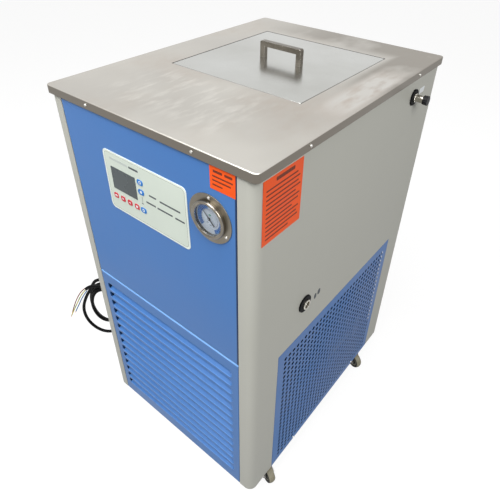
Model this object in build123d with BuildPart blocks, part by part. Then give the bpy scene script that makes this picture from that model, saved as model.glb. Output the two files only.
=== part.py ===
"""A low-temperature recirculating chiller on four casters.

A sheet-metal cabinet with a stainless top plate and a lift-out lid over the bath,
blue front panels, a perforated blue grille low on the right side, a flanged gauge,
a keypad with a display, an outlet port, a drain port and a coiled supply cable.
Frame: x to the right along the blue front, y to the back, z up. The origin is on
the floor, under the middle of the cabinet. Millimetres.
"""
import os
from math import cos, radians, sin, tan

from build123d import *

os.makedirs("parts", exist_ok=True)

# Cabinet
cabinet_width = 494.0
cabinet_depth = 650.0
cabinet_height = 893.5
floor_gap = 68.0
sheet = 1.5
corner_radius = 20.0
front_return = 35.0
touch = 0.25

body_x = cabinet_width / 2
body_y = cabinet_depth / 2
body_top = floor_gap + cabinet_height

# Top plate and lid
plate_overhang = 3.0
plate_flange = 16.0
plate_corner = 9.0
lid_opening = 320.0
lid_back_inset = 262.0
lid_centre_y = body_y - lid_back_inset
lid_gap = 1.25
lid_height = 4.5
ledge_width = 12.0
plug_gap = 2.0
plug_depth = 23.5
handle_length = 103.0
handle_height = 34.0
handle_bar = 11.0
top_z = body_top + sheet
ledge_z = top_z - lid_height

# Bath tank and its foam
tank_inset = 20.0
tank_width = lid_opening - tank_inset
tank_depth = 316.0
tank_wall = 1.2
tank_corner = 22.0
foam_wall = 30.0
foam_floor = 40.0
coil_gap = 28.0
coil_radius = tank_width / 2 - coil_gap
coil_tube = 12.0
coil_pitch = 24.0
coil_turns = 3

# Front panels
panel_gap = 1.0
panel_depth = 14.0
panel_edge = 2.5
seam_rise = 457.0
seam_z = floor_gap + seam_rise
seam_gap = 2.0

# Louvres pressed into the lower front panel
louvre_count = 14
louvre_pitch = 28.16
louvre_head = 31.8
louvre_first_top = seam_z - louvre_head
louvre_height = 21.5
louvre_margin = 53.0
louvre_length = cabinet_width - 2 * louvre_margin
louvre_corner = 8.0
scoop_radius = 11.0
scoop_lip = 4.0

# Perforated side grille
grille_inset = 81.0
grille_width = cabinet_depth - 2 * grille_inset
grille_height = 430.0
grille_top = floor_gap + grille_height
grille_gap = 0.75
grille_lip = 10.0
grille_margin = 26.5
hole_pitch = 30.0
hole_size = 15.0

# Keypad and display
keypad_width = 213.0
keypad_height = 127.5
keypad_drop = 144.5
keypad_z = body_top - keypad_drop
keypad_corner = 10.0
film = 0.8
display_width = 66.5
display_height = 46.5
display_rise = 9.0
key_size = 12.5
key_row_drop = 31.0
display_z = keypad_z + display_rise
key_row_z = keypad_z - key_row_drop
blue_key_z = (keypad_z + 28.0, keypad_z + 8.0, key_row_z)
housing_depth = 60.0

# Flanged gauge
gauge_side_inset = 90.0
gauge_drop = 114.5
gauge_x = body_x - gauge_side_inset
gauge_z = body_top - gauge_drop
gauge_flange_radius = 44.5
gauge_case_radius = 29.5
gauge_case_depth = 35.0
gauge_wall = 1.2
bezel_outer = 34.0
bezel_inner = 27.7
bezel_height = 8.5
gauge_screw_circle = 39.0

# The keypad keeps its distance from the gauge.
keypad_to_gauge = 157.0
keypad_x = gauge_x - keypad_to_gauge
display_x = keypad_x - 55.7
red_key_x = (keypad_x - 86.7, keypad_x - 66.9, keypad_x - 47.1, keypad_x - 27.3)
blue_key_x = keypad_x - 9.3

# Ports on the right side
outlet_back_inset = 126.0
outlet_drop = 54.5
outlet_y = body_y - outlet_back_inset
outlet_z = body_top - outlet_drop
outlet_radius = 7.6
outlet_length = 26.0
washer_radius = 17.3
cap_radius = 10.0
cap_length = 6.0
cap_skirt = 4.0
drain_front_inset = 160.0
drain_drop = 372.5
drain_y = -body_y + drain_front_inset
drain_z = body_top - drain_drop
drain_radius = 11.0
drain_length = 7.5
drain_bore = 8.0
drain_washer_radius = 19.5
pipe_radius = 7.5

# Casters
caster_side_inset = 29.0
caster_front_inset = 87.0
caster_rear_inset = 113.0
caster_x = body_x - caster_side_inset
caster_front_y = -body_y + caster_front_inset
caster_rear_y = body_y - caster_rear_inset
caster_plate = 56.0
wheel_radius = 25.0
wheel_width = 19.0
axle_radius = 3.5
caster_trail = 21.0
trail_angle = -20.0
fork_sheet = 2.2
swivel_radius = 18.0
running_gap = 0.4

# Machinery in the lower compartment
pan_wall = 2.0
pan_height = 24.0
condenser_width = 320.0
condenser_height = 310.0
condenser_depth = 44.0
condenser_front_gap = 25.0
condenser_y = -body_y + condenser_front_gap
fan_radius = 118.0
shroud_depth = 26.0
fan_z = 258.0
compressor_radius = 78.0
compressor_height = 230.0
compressor_side_inset = 127.0
compressor_back_inset = 195.0
compressor_x = -body_x + compressor_side_inset
compressor_y = body_y - compressor_back_inset
grommet_height = 14.0
pump_side_inset = 77.5
pump_x = body_x - pump_side_inset
pump_z = 150.0
pump_radius = 52.0

# Supply cable
cable_diameter = 8.5
gland_front_inset = 40.0
gland_y = -body_y + gland_front_inset
gland_z = 414.0
gland_length = 30.0
gland_bore = 14.0
coil_front_inset = 75.0
coil_side = body_y - coil_front_inset
coil_angle = 38.1
ring_half_width = 62.0
ring_half_height = 104.0
ring_thickness = 22.0
ring_centre = (75.0, gland_z - 124.0)
ring_hole_half_width = 24.0
ring_hole_half_height = 52.0
ring_hole_centre = (64.0, gland_z - 97.0)


def save(piece, name):
    """Name a finished piece and write it out."""
    piece.part.label = name
    export_step(piece.part, f"parts/{name}.step")


# The base pan is a shallow tray that carries the machinery and the casters.
pan_floor = floor_gap + pan_wall
with BuildPart() as base_pan:
    with BuildSketch(Plane.XY.offset(floor_gap)):
        RectangleRounded(cabinet_width - 2 * sheet, cabinet_depth - 2 * sheet, corner_radius - sheet)
    extrude(amount=pan_height)
    with BuildSketch(Plane.XY.offset(pan_floor)):
        RectangleRounded(
            cabinet_width - 2 * sheet - 2 * pan_wall,
            cabinet_depth - 2 * sheet - 2 * pan_wall,
            corner_radius - sheet - pan_wall,
        )
    extrude(amount=pan_height, mode=Mode.SUBTRACT)
save(base_pan, "base_pan")


# Each side panel is one sheet folded round both corners, with a narrow return
# on the front and on the back.
def side_panel_sheet():
    """The folded sheet of the right side, from the base to the top plate."""
    with BuildSketch(Plane.XY.offset(floor_gap)) as outline:
        RectangleRounded(cabinet_width, cabinet_depth, corner_radius)
        RectangleRounded(
            cabinet_width - 2 * sheet,
            cabinet_depth - 2 * sheet,
            corner_radius - sheet,
            mode=Mode.SUBTRACT,
        )
        with Locations((body_x - front_return / 2, 0)):
            Rectangle(front_return, cabinet_depth, mode=Mode.INTERSECT)
    extrude(outline.sketch, amount=cabinet_height)


right_face = Plane(origin=(body_x, 0, 0), x_dir=(0, 1, 0), z_dir=(1, 0, 0))
left_face = Plane(origin=(-body_x, 0, 0), x_dir=(0, -1, 0), z_dir=(-1, 0, 0))
front_face = Plane(origin=(0, -body_y, 0), x_dir=(1, 0, 0), z_dir=(0, -1, 0))

with BuildPart() as right_side_panel:
    side_panel_sheet()
    with BuildSketch(right_face):
        with Locations((0, floor_gap + grille_height / 2)):
            Rectangle(grille_width + 2 * grille_gap, grille_height + 2 * grille_gap)
        with Locations((outlet_y, outlet_z)):
            Circle(outlet_radius + touch)
        with Locations((drain_y, drain_z)):
            Circle(drain_radius + touch)
    extrude(amount=-2 * sheet, mode=Mode.SUBTRACT)
save(right_side_panel, "right_side_panel")

with BuildPart() as left_blank:
    side_panel_sheet()
with BuildPart() as left_side_panel:
    add(mirror(left_blank.part, about=Plane.YZ))
    with BuildSketch(left_face):
        with Locations((-gland_y, gland_z)):
            Circle(cable_diameter / 2 + touch)
    extrude(amount=-2 * sheet, mode=Mode.SUBTRACT)
save(left_side_panel, "left_side_panel")

# The grille sheet lies flush in the notch of the right panel. Its border is
# joggled inwards, so that a lip reaches behind the panel on three sides.
grille_columns = int((grille_width - 2 * grille_margin) // hole_pitch) + 1
grille_rows = int((grille_height - 2 * grille_margin) // hole_pitch) + 1
lip_bottom = floor_gap + pan_height + touch
with BuildPart() as side_grille:
    with BuildSketch(right_face):
        with Locations((0, floor_gap + grille_height / 2)):
            Rectangle(grille_width, grille_height)
    extrude(amount=-sheet)
    with BuildSketch(right_face.offset(-sheet)):
        with Locations((0, (lip_bottom + grille_top + grille_lip) / 2)):
            Rectangle(grille_width + 2 * grille_lip, grille_top + grille_lip - lip_bottom)
        with Locations((0, (lip_bottom + grille_top - grille_lip) / 2)):
            Rectangle(
                grille_width - 2 * grille_lip,
                grille_top - grille_lip - lip_bottom + touch,
                mode=Mode.SUBTRACT,
            )
    extrude(amount=-sheet)
    with BuildSketch(right_face):
        with Locations((0, floor_gap + grille_height / 2)):
            with GridLocations(hole_pitch, hole_pitch, grille_columns, grille_rows):
                RegularPolygon(hole_size / 2, 6)
    extrude(amount=-3 * sheet, mode=Mode.SUBTRACT)
save(side_grille, "side_grille")

# The rear panel closes the back between the two returns.
panel_width = cabinet_width - 2 * front_return - 2 * panel_gap
with BuildPart() as rear_panel:
    with BuildSketch(Plane.XY.offset(floor_gap + pan_wall)):
        with Locations((0, body_y - panel_depth / 2)):
            Rectangle(panel_width, panel_depth)
    extrude(amount=cabinet_height - pan_wall - touch)
    rear_edges = rear_panel.faces().sort_by(Axis.Y)[-1].edges()
    fillet(rear_edges, panel_edge)
    with BuildSketch(Plane.XY.offset(floor_gap + pan_height + 2 * sheet)):
        with Locations((0, body_y - sheet - panel_depth / 2)):
            Rectangle(panel_width - 2 * sheet, panel_depth)
    extrude(amount=cabinet_height - pan_height - 4 * sheet, mode=Mode.SUBTRACT)
    with BuildSketch(Plane.XY.offset(floor_gap)):
        with Locations((0, body_y - sheet - panel_depth / 2)):
            Rectangle(panel_width + 1, panel_depth)
    extrude(amount=pan_height + touch, mode=Mode.SUBTRACT)
save(rear_panel, "rear_panel")


def front_pan(low, high, back_low):
    """A front panel with rounded edges, hollow at the back above back_low."""
    with BuildSketch(front_face) as outline:
        with Locations((0, (low + high) / 2)):
            Rectangle(panel_width, high - low)
    extrude(outline.sketch, amount=-panel_depth)
    fillet(faces().sort_by(Axis.Y)[0].edges(), panel_edge)
    with BuildSketch(front_face.offset(-sheet)) as hollow:
        with Locations((0, (back_low + high - sheet) / 2)):
            Rectangle(panel_width - 2 * sheet, high - sheet - back_low)
    extrude(hollow.sketch, amount=-panel_depth, mode=Mode.SUBTRACT)


# The upper front panel has cut-outs for the control housing and the gauge.
housing_width = keypad_width - 24
housing_height = keypad_height - 28
with BuildPart() as front_upper_panel:
    front_pan(seam_z + seam_gap / 2, body_top - touch, seam_z + seam_gap / 2 + sheet)
    with BuildSketch(front_face):
        with Locations((keypad_x, keypad_z)):
            Rectangle(housing_width + 2 * touch, housing_height + 2 * touch)
        with Locations((gauge_x, gauge_z)):
            Circle(gauge_case_radius + touch)
    extrude(amount=-2 * sheet, mode=Mode.SUBTRACT)
save(front_upper_panel, "front_upper_panel")

# The lower front panel has a column of louvres. Each is cut along its top and its
# two ends and pressed inwards, so a scoop curves back and up from its lower edge.
louvre_tops = [louvre_first_top - n * louvre_pitch for n in range(louvre_count)]
scoop_length = louvre_length - 2 * sheet
with BuildPart() as front_lower_panel:
    front_pan(floor_gap, seam_z - seam_gap / 2, floor_gap + sheet)
    with BuildSketch(Plane.XY.offset(floor_gap)):
        with Locations((0, -body_y + sheet + panel_depth / 2)):
            Rectangle(panel_width + 1, panel_depth)
    extrude(amount=pan_height + touch, mode=Mode.SUBTRACT)
    with BuildSketch(front_face):
        for top in louvre_tops:
            with Locations((0, top - louvre_height / 2)):
                RectangleRounded(louvre_length, louvre_height, louvre_corner)
    extrude(amount=-2 * sheet, mode=Mode.SUBTRACT)
    for top in louvre_tops:
        foot = top - louvre_height
        with BuildSketch(Plane.YZ):
            with Locations((-body_y + sheet / 2, foot + scoop_radius)):
                Circle(scoop_radius + sheet / 2)
                Circle(scoop_radius - sheet / 2, mode=Mode.SUBTRACT)
                with Locations((scoop_radius, -scoop_radius)):
                    Rectangle(2 * scoop_radius, 2 * scoop_radius, mode=Mode.INTERSECT)
            with Locations((-body_y + sheet / 2 + scoop_radius, foot + scoop_radius + scoop_lip / 2)):
                Rectangle(sheet, scoop_lip)
        extrude(amount=scoop_length / 2, both=True)
save(front_lower_panel, "front_lower_panel")

# The top plate is a shallow stainless pan turned over the cabinet. Its opening has
# a drawn rim with a ledge for the lid.
plate_width = cabinet_width + 2 * plate_overhang
plate_depth = cabinet_depth + 2 * plate_overhang
lid_middle = (0, lid_centre_y)
ledge_inner = lid_opening - 2 * ledge_width
with BuildPart() as top_plate:
    with BuildSketch(Plane.XY.offset(top_z)):
        RectangleRounded(plate_width, plate_depth, plate_corner)
    extrude(amount=-plate_flange)
    fillet(top_plate.faces().sort_by(Axis.Z)[-1].edges(), sheet + 0.5)
    with BuildSketch(Plane.XY.offset(body_top)):
        RectangleRounded(plate_width - 2 * sheet, plate_depth - 2 * sheet, plate_corner - sheet)
    extrude(amount=-plate_flange, mode=Mode.SUBTRACT)
    with BuildSketch(Plane.XY.offset(top_z)):
        with Locations(lid_middle):
            Rectangle(lid_opening, lid_opening)
    extrude(amount=-2 * sheet, mode=Mode.SUBTRACT)
    with BuildSketch(Plane.XY.offset(ledge_z - sheet)):
        with Locations(lid_middle):
            Rectangle(lid_opening + 2 * sheet, lid_opening + 2 * sheet)
            Rectangle(ledge_inner, ledge_inner, mode=Mode.SUBTRACT)
    extrude(amount=sheet)
    with BuildSketch(Plane.XY.offset(ledge_z)):
        with Locations(lid_middle):
            Rectangle(lid_opening + 2 * sheet, lid_opening + 2 * sheet)
            Rectangle(lid_opening, lid_opening, mode=Mode.SUBTRACT)
    extrude(amount=lid_height - sheet)
save(top_plate, "top_plate")

# The lid is a folded stainless pan with a foam-filled plug below. It rests on the
# ledge and lifts straight out.
lid_size = lid_opening - 2 * lid_gap
plug_size = ledge_inner - 2 * plug_gap
with BuildPart() as lid:
    with BuildSketch(Plane.XY.offset(ledge_z)):
        with Locations(lid_middle):
            RectangleRounded(lid_size, lid_size, 3)
    extrude(amount=lid_height)
    fillet(lid.faces().sort_by(Axis.Z)[-1].edges(), 1)
    with BuildSketch(Plane.XY.offset(ledge_z)):
        with Locations(lid_middle):
            RectangleRounded(plug_size, plug_size, tank_corner)
    extrude(amount=-plug_depth)
save(lid, "lid")

# The bow handle is bent from square bar, with its feet welded to the lid.
handle_plane = Plane(origin=(0, lid_centre_y, top_z), x_dir=(1, 0, 0), z_dir=(0, -1, 0))
with BuildPart() as lid_handle:
    with BuildSketch(handle_plane):
        with Locations((0, handle_height / 2)):
            Rectangle(handle_length, handle_height)
    extrude(amount=handle_bar / 2, both=True)
    outer_edges = lid_handle.faces().sort_by(Axis.Z)[-1].edges().filter_by(Axis.Y)
    fillet(outer_edges, 4)
    with BuildSketch(handle_plane):
        with Locations((0, (handle_height - handle_bar) / 2)):
            Rectangle(handle_length - 2 * handle_bar, handle_height - handle_bar)
    extrude(amount=handle_bar, both=True, mode=Mode.SUBTRACT)
save(lid_handle, "lid_handle")

# The bath tank is a welded stainless box with a rim, hung under the ledge.
tank_top = ledge_z - sheet
tank_bottom = tank_top - tank_depth
tank_inner = tank_width - 2 * tank_wall
with BuildPart() as tank:
    with BuildSketch(Plane.XY.offset(tank_bottom)):
        with Locations(lid_middle):
            RectangleRounded(tank_width, tank_width, tank_corner)
    extrude(amount=tank_depth)
    with BuildSketch(Plane.XY.offset(tank_top)):
        with Locations(lid_middle):
            Rectangle(lid_opening, lid_opening)
    extrude(amount=-tank_wall)
    with BuildSketch(Plane.XY.offset(tank_bottom + tank_wall)):
        with Locations(lid_middle):
            RectangleRounded(tank_inner, tank_inner, tank_corner - tank_wall)
    extrude(amount=tank_depth, mode=Mode.SUBTRACT)
save(tank, "tank")

# Foam surrounds the tank. Two pipes pass down through its floor.
drain_tap = (tank_width / 2 - 40.0, lid_centre_y - tank_width / 2 + 37.0)
suction_tap = (tank_width / 2 - 30.0, lid_centre_y + tank_width / 2 - 28.0)
foam_bottom = tank_bottom - foam_floor
foam_width = tank_width + 2 * foam_wall
with BuildPart() as tank_insulation:
    with BuildSketch(Plane.XY.offset(foam_bottom)):
        with Locations(lid_middle):
            RectangleRounded(foam_width, foam_width, tank_corner)
    extrude(amount=tank_top - tank_wall - foam_bottom)
    with BuildSketch(Plane.XY.offset(tank_bottom)):
        with Locations(lid_middle):
            RectangleRounded(tank_width, tank_width, tank_corner)
    extrude(amount=tank_depth, mode=Mode.SUBTRACT)
    with BuildSketch(Plane.XY.offset(foam_bottom)):
        with Locations(drain_tap, suction_tap):
            Circle(pipe_radius + touch)
    extrude(amount=foam_floor, mode=Mode.SUBTRACT)
save(tank_insulation, "tank_insulation")

# The evaporator is a copper coil that stands on the tank's floor.
coil_base = tank_bottom + tank_wall + coil_tube / 2 + touch
with BuildPart() as evaporator_coil:
    with BuildLine(Plane(origin=(0, lid_centre_y, coil_base))):
        coil_path = Helix(coil_pitch, coil_pitch * coil_turns, coil_radius)
    with BuildSketch(Plane(origin=coil_path @ 0, z_dir=coil_path % 0)):
        Circle(coil_tube / 2)
    sweep(path=coil_path)
save(evaporator_coil, "evaporator_coil")

# The condenser is a finned block between two end plates, behind the louvres.
condenser_top = pan_floor + condenser_height
end_plate = 6.0
fin_pitch = 20.0
fin_cut = 12.0
with BuildPart() as condenser:
    with BuildSketch(Plane.XY.offset(pan_floor)):
        with Locations((0, condenser_y + condenser_depth / 2)):
            Rectangle(condenser_width, condenser_depth)
    extrude(amount=condenser_height)
    with BuildSketch(Plane.XZ.offset(-condenser_y)):
        with Locations((0, pan_floor + condenser_height / 2)):
            with GridLocations(fin_pitch, 1, int(condenser_width // fin_pitch) - 1, 1):
                Rectangle(fin_cut, condenser_height - 2 * end_plate)
    extrude(amount=-condenser_depth / 3, mode=Mode.SUBTRACT)
save(condenser, "condenser")

# The shroud is a sheet box on the back of the condenser, with a round throat.
shroud_y = condenser_y + condenser_depth
shroud_top = fan_z + condenser_width / 2 - 6
shroud_plane = Plane(origin=(0, shroud_y, 0), x_dir=(-1, 0, 0), z_dir=(0, 1, 0))
shroud_height = shroud_top - pan_floor
with BuildPart() as fan_shroud:
    with BuildSketch(shroud_plane):
        with Locations((0, pan_floor + shroud_height / 2)):
            Rectangle(condenser_width, shroud_height)
    extrude(amount=shroud_depth)
    with BuildSketch(shroud_plane):
        with Locations((0, pan_floor + shroud_height / 2)):
            Rectangle(condenser_width - 2 * sheet, shroud_height - 2 * sheet)
    extrude(amount=shroud_depth - sheet, mode=Mode.SUBTRACT)
    with BuildSketch(shroud_plane):
        with Locations((0, fan_z)):
            Circle(fan_radius + 6)
    extrude(amount=shroud_depth, mode=Mode.SUBTRACT)
save(fan_shroud, "fan_shroud")

# The fan motor hangs on four arms that are fixed to the shroud round the throat.
motor_radius = 36.0
motor_length = 62.0
motor_gap = 16.0
shaft_radius = 4.0
arm_width = 12.0
shroud_back = shroud_y + shroud_depth
motor_face = shroud_back + motor_gap
fan_axis = Axis((0, 0, fan_z), (0, 1, 0))
motor_plane = Plane(origin=(0, motor_face, fan_z), x_dir=(-1, 0, 0), z_dir=(0, 1, 0))
arm_reach = fan_radius + 16
arm_angles = (45, 135, 225, 315)
with BuildPart() as fan_motor:
    with BuildSketch(motor_plane):
        Circle(motor_radius)
    extrude(amount=motor_length)
    fillet(fan_motor.edges().filter_by(GeomType.CIRCLE), 4)
    with BuildSketch(motor_plane):
        with Locations(*[Location((0, 0), a) for a in arm_angles]):
            with Locations((arm_reach / 2, 0)):
                Rectangle(arm_reach, arm_width)
    extrude(amount=3)
    with BuildSketch(motor_plane):
        with PolarLocations(arm_reach - arm_width / 2, 4, 45):
            Circle(arm_width / 2)
    extrude(amount=-motor_gap)
    with BuildSketch(motor_plane):
        Circle(shaft_radius)
    extrude(amount=-motor_gap - shroud_depth + 4)
save(fan_motor, "fan_motor")

# Five twisted blades stand on the fan's hub.
hub_radius = 22.0
hub_length = 22.0
blade_count = 5
blade_thickness = 2.4
fan_front = motor_face - motor_gap - shroud_depth + 6
fan_plane = Plane(origin=(0, fan_front, fan_z), x_dir=(1, 0, 0), z_dir=(0, 1, 0))
with BuildPart() as fan_blade:
    with BuildSketch(fan_plane):
        Circle(hub_radius)
    extrude(amount=hub_length)
    for number in range(blade_count):
        turn = number * 360 / blade_count
        spoke = Plane(
            origin=(
                (hub_radius - 2) * cos(radians(turn)),
                fan_front + hub_length / 2,
                fan_z + (hub_radius - 2) * sin(radians(turn)),
            ),
            x_dir=(0, 1, 0),
            z_dir=(cos(radians(turn)), 0, sin(radians(turn))),
        )
        with BuildSketch(spoke):
            Rectangle(hub_length * 0.85, blade_thickness, rotation=38)
        with BuildSketch(spoke.offset(fan_radius - hub_radius)):
            Rectangle(hub_length * 1.9, blade_thickness * 0.7, rotation=62)
        loft()
    with BuildSketch(fan_plane):
        Circle(fan_radius + 4)
        Circle(fan_radius, mode=Mode.SUBTRACT)
    extrude(amount=hub_length, mode=Mode.SUBTRACT)
    with BuildSketch(fan_plane):
        Circle(shaft_radius + 0.08)
    extrude(amount=hub_length, mode=Mode.SUBTRACT)
save(fan_blade, "fan_blade")

# The hermetic compressor is a welded can on three lugs, each over a rubber grommet.
compressor_base = pan_floor + grommet_height
compressor_axis = Axis((compressor_x, compressor_y, 0), (0, 0, 1))
compressor_section = Plane(origin=(compressor_x, compressor_y, compressor_base), x_dir=(1, 0, 0), z_dir=(0, -1, 0))
lug_circle = compressor_radius + 16
base_inset = 14.0
base_rise = 18.0
weld_bead = 4.0
weld_height = 6.0
weld_z = compressor_height * 0.45
lug_end = 24.0
lug_width = 34.0
lug_thickness = 4.0
grommet_radius = 12.0
with BuildPart() as compressor:
    with BuildSketch(compressor_section):
        with BuildLine():
            Polyline(
                (0, 0),
                (compressor_radius - base_inset, 0),
                (compressor_radius, base_rise),
                (compressor_radius, weld_z),
                (compressor_radius + weld_bead, weld_z),
                (compressor_radius + weld_bead, weld_z + weld_height),
                (compressor_radius, weld_z + weld_height),
                (compressor_radius, compressor_height),
                (0, compressor_height),
                close=True,
            )
        make_face()
    revolve(axis=compressor_axis)
    fillet(compressor.edges().sort_by(Axis.Z)[-1], compressor_radius * 0.7)
    with BuildSketch(Plane.XY.offset(compressor_base)):
        with Locations((compressor_x, compressor_y)):
            with PolarLocations(lug_circle / 2, 3, 90):
                Rectangle(lug_circle + lug_end, lug_width)
    extrude(amount=lug_thickness)
save(compressor, "compressor")

with BuildPart() as compressor_grommets:
    with BuildSketch(Plane.XY.offset(pan_floor)):
        with Locations((compressor_x, compressor_y)):
            with PolarLocations(lug_circle - 2, 3, 90):
                Circle(grommet_radius)
    extrude(amount=grommet_height)
save(compressor_grommets, "compressor_grommets")

# The circulation pump has a motor on a foot and a volute that delivers upwards.
volute_y = outlet_y
volute_width = 26.0
motor_body = 84.0
pump_motor_length = 120.0
foot_width = 70.0
foot_length = 80.0
foot_thickness = 4.0
foot_step = 24.0
foot_sunk = 6.0
foot_y = volute_y - pump_motor_length / 2 - volute_width / 2
riser_x = pump_x + pump_radius - pipe_radius
pump_plane = Plane(origin=(pump_x, volute_y + volute_width / 2, pump_z), x_dir=(1, 0, 0), z_dir=(0, -1, 0))
with BuildPart() as circulation_pump:
    with BuildSketch(pump_plane):
        Circle(pump_radius)
        with Locations((pump_radius - pipe_radius, pump_radius / 2 + 6)):
            Rectangle(2 * pipe_radius, pump_radius + 12)
    extrude(amount=volute_width)
    with BuildSketch(pump_plane.offset(volute_width)):
        Circle(motor_body / 2)
    extrude(amount=pump_motor_length)
    fillet(circulation_pump.faces().sort_by(Axis.Y)[0].edges(), 5)
    with BuildSketch(Plane.XY.offset(pan_floor)):
        with Locations((pump_x, foot_y)):
            Rectangle(foot_width, foot_length)
    extrude(amount=foot_thickness)
    with BuildSketch(Plane.XY.offset(pan_floor)):
        with Locations((pump_x, foot_y)):
            Rectangle(foot_width - foot_step, foot_length - foot_step)
    extrude(amount=pump_z - pan_floor - motor_body / 2 + foot_sunk)
save(circulation_pump, "circulation_pump")

# The riser carries the coolant from the pump to the outlet port.
pump_top = pump_z + pump_radius + 12
inner_face = body_x - sheet
riser_bend = 24.0
with BuildPart() as outlet_pipe:
    with BuildLine():
        riser_path = FilletPolyline(
            (riser_x, outlet_y, pump_top),
            (riser_x, outlet_y, outlet_z),
            (inner_face, outlet_y, outlet_z),
            radius=riser_bend,
        )
    with BuildSketch(Plane(origin=riser_path @ 0, z_dir=riser_path % 0)):
        Circle(pipe_radius)
    sweep(path=riser_path)
save(outlet_pipe, "outlet_pipe")

# The drain runs from the tank's floor to the port low on the right side.
drain_bend = 22.0
with BuildPart() as drain_pipe:
    with BuildLine():
        drain_path = FilletPolyline(
            (drain_tap[0], drain_tap[1], tank_bottom),
            (drain_tap[0], drain_tap[1], drain_z - 14),
            (drain_tap[0], drain_y, drain_z - 14),
            (drain_tap[0] + 60, drain_y, drain_z),
            (inner_face, drain_y, drain_z),
            radius=drain_bend,
        )
    with BuildSketch(Plane(origin=drain_path @ 0, z_dir=drain_path % 0)):
        Circle(pipe_radius)
    sweep(path=drain_path)
save(drain_pipe, "drain_pipe")

# The suction hose runs from the tank's floor down to the eye of the pump.
suction_face = volute_y + volute_width / 2
suction_y = suction_face + 46
with BuildPart() as suction_pipe:
    with BuildLine():
        suction_path = FilletPolyline(
            (suction_tap[0], suction_tap[1], tank_bottom),
            (suction_tap[0], suction_tap[1], foam_bottom - 60),
            (pump_x, suction_y, foam_bottom - 150),
            (pump_x, suction_y, pump_z),
            (pump_x, suction_face, pump_z),
            radius=26,
        )
    with BuildSketch(Plane(origin=suction_path @ 0, z_dir=suction_path % 0)):
        Circle(pipe_radius)
    sweep(path=suction_path)
save(suction_pipe, "suction_pipe")

# The control housing sits in its cut-out, with a rim behind the panel.
with BuildPart() as control_housing:
    with BuildSketch(front_face):
        with Locations((keypad_x, keypad_z)):
            Rectangle(housing_width, housing_height)
    extrude(amount=-housing_depth)
    with BuildSketch(front_face.offset(-sheet)):
        with Locations((keypad_x, keypad_z)):
            Rectangle(housing_width + 20, housing_height + 20)
    extrude(amount=-2 * sheet)
save(control_housing, "control_housing")

# The keypad film covers the housing. The display window and the keys lie on it.
with BuildPart() as control_overlay:
    with BuildSketch(front_face):
        with Locations((keypad_x, keypad_z)):
            RectangleRounded(keypad_width, keypad_height, keypad_corner)
    extrude(amount=film)
save(control_overlay, "control_overlay")

with BuildPart() as display_window:
    with BuildSketch(front_face.offset(film)):
        with Locations((display_x, display_z)):
            RectangleRounded(display_width, display_height, 1.5)
    extrude(amount=film)
save(display_window, "display_window")

with BuildPart() as red_keys:
    with BuildSketch(front_face.offset(film)):
        with Locations(*[(x, key_row_z) for x in red_key_x]):
            RectangleRounded(key_size, key_size - 1.5, 3.5)
    extrude(amount=film)
save(red_keys, "red_keys")

with BuildPart() as blue_keys:
    with BuildSketch(front_face.offset(film)):
        with Locations(*[(blue_key_x, z) for z in blue_key_z]):
            RectangleRounded(key_size + 2.5, key_size - 1.5, 4.5)
    extrude(amount=film)
save(blue_keys, "blue_keys")

# The gauge is turned about an axis that points straight out of the front.
gauge_origin = (gauge_x, -body_y, gauge_z)
gauge_axis = Axis(gauge_origin, (0, -1, 0))
gauge_section = Plane(origin=gauge_origin, x_dir=(1, 0, 0), z_dir=(0, 0, -1))
gauge_plane = Plane(origin=gauge_origin, x_dir=(1, 0, 0), z_dir=(0, -1, 0))
cup_inner = gauge_case_radius - gauge_wall
with BuildPart() as gauge_case:
    with BuildSketch(gauge_section):
        with BuildLine():
            Polyline(
                (0, -gauge_case_depth),
                (gauge_case_radius - 5, -gauge_case_depth),
                (gauge_case_radius, -gauge_case_depth + 5),
                (gauge_case_radius, 0),
                (gauge_flange_radius, 0),
                (gauge_flange_radius, sheet),
                (cup_inner, sheet),
                (cup_inner, 0),
                (0, 0),
                close=True,
            )
        make_face()
    revolve(axis=gauge_axis)
save(gauge_case, "gauge_case")

with BuildPart() as gauge_bezel:
    with BuildSketch(gauge_section):
        with BuildLine():
            Polyline(
                (bezel_inner, sheet),
                (bezel_outer, sheet),
                (bezel_outer, bezel_height - 2.5),
            )
            ThreePointArc(
                (bezel_outer, bezel_height - 2.5),
                (bezel_outer - 1.5, bezel_height + 0.4),
                (bezel_outer - 3.6, bezel_height + 0.8),
            )
            Polyline(
                (bezel_outer - 3.6, bezel_height + 0.8),
                (bezel_inner, bezel_height - 1),
                (bezel_inner, sheet),
            )
        make_face()
    revolve(axis=gauge_axis)
save(gauge_bezel, "gauge_bezel")

dial_top = 0.9
staff_radius = 1.0
staff_top = 4.6
pointer_low = 2.4
with BuildPart() as gauge_dial:
    with BuildSketch(gauge_plane):
        Circle(cup_inner - 0.2)
    extrude(amount=dial_top)
    with BuildSketch(gauge_plane.offset(dial_top)):
        Circle(staff_radius)
    extrude(amount=staff_top - dial_top)
save(gauge_dial, "gauge_dial")

pointer_reach = 21.0
pointer_tail = 15.0
pointer_angle = 135.0
pointer_tail_half = 1.3
pointer_half = 0.9
pointer_tip_half = 0.25
pointer_thickness = 0.6


def on_pointer(along, across):
    """A point along the pointer and across it, turned to the pointer's angle."""
    turn = radians(pointer_angle)
    return (along * cos(turn) - across * sin(turn), along * sin(turn) + across * cos(turn))


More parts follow.
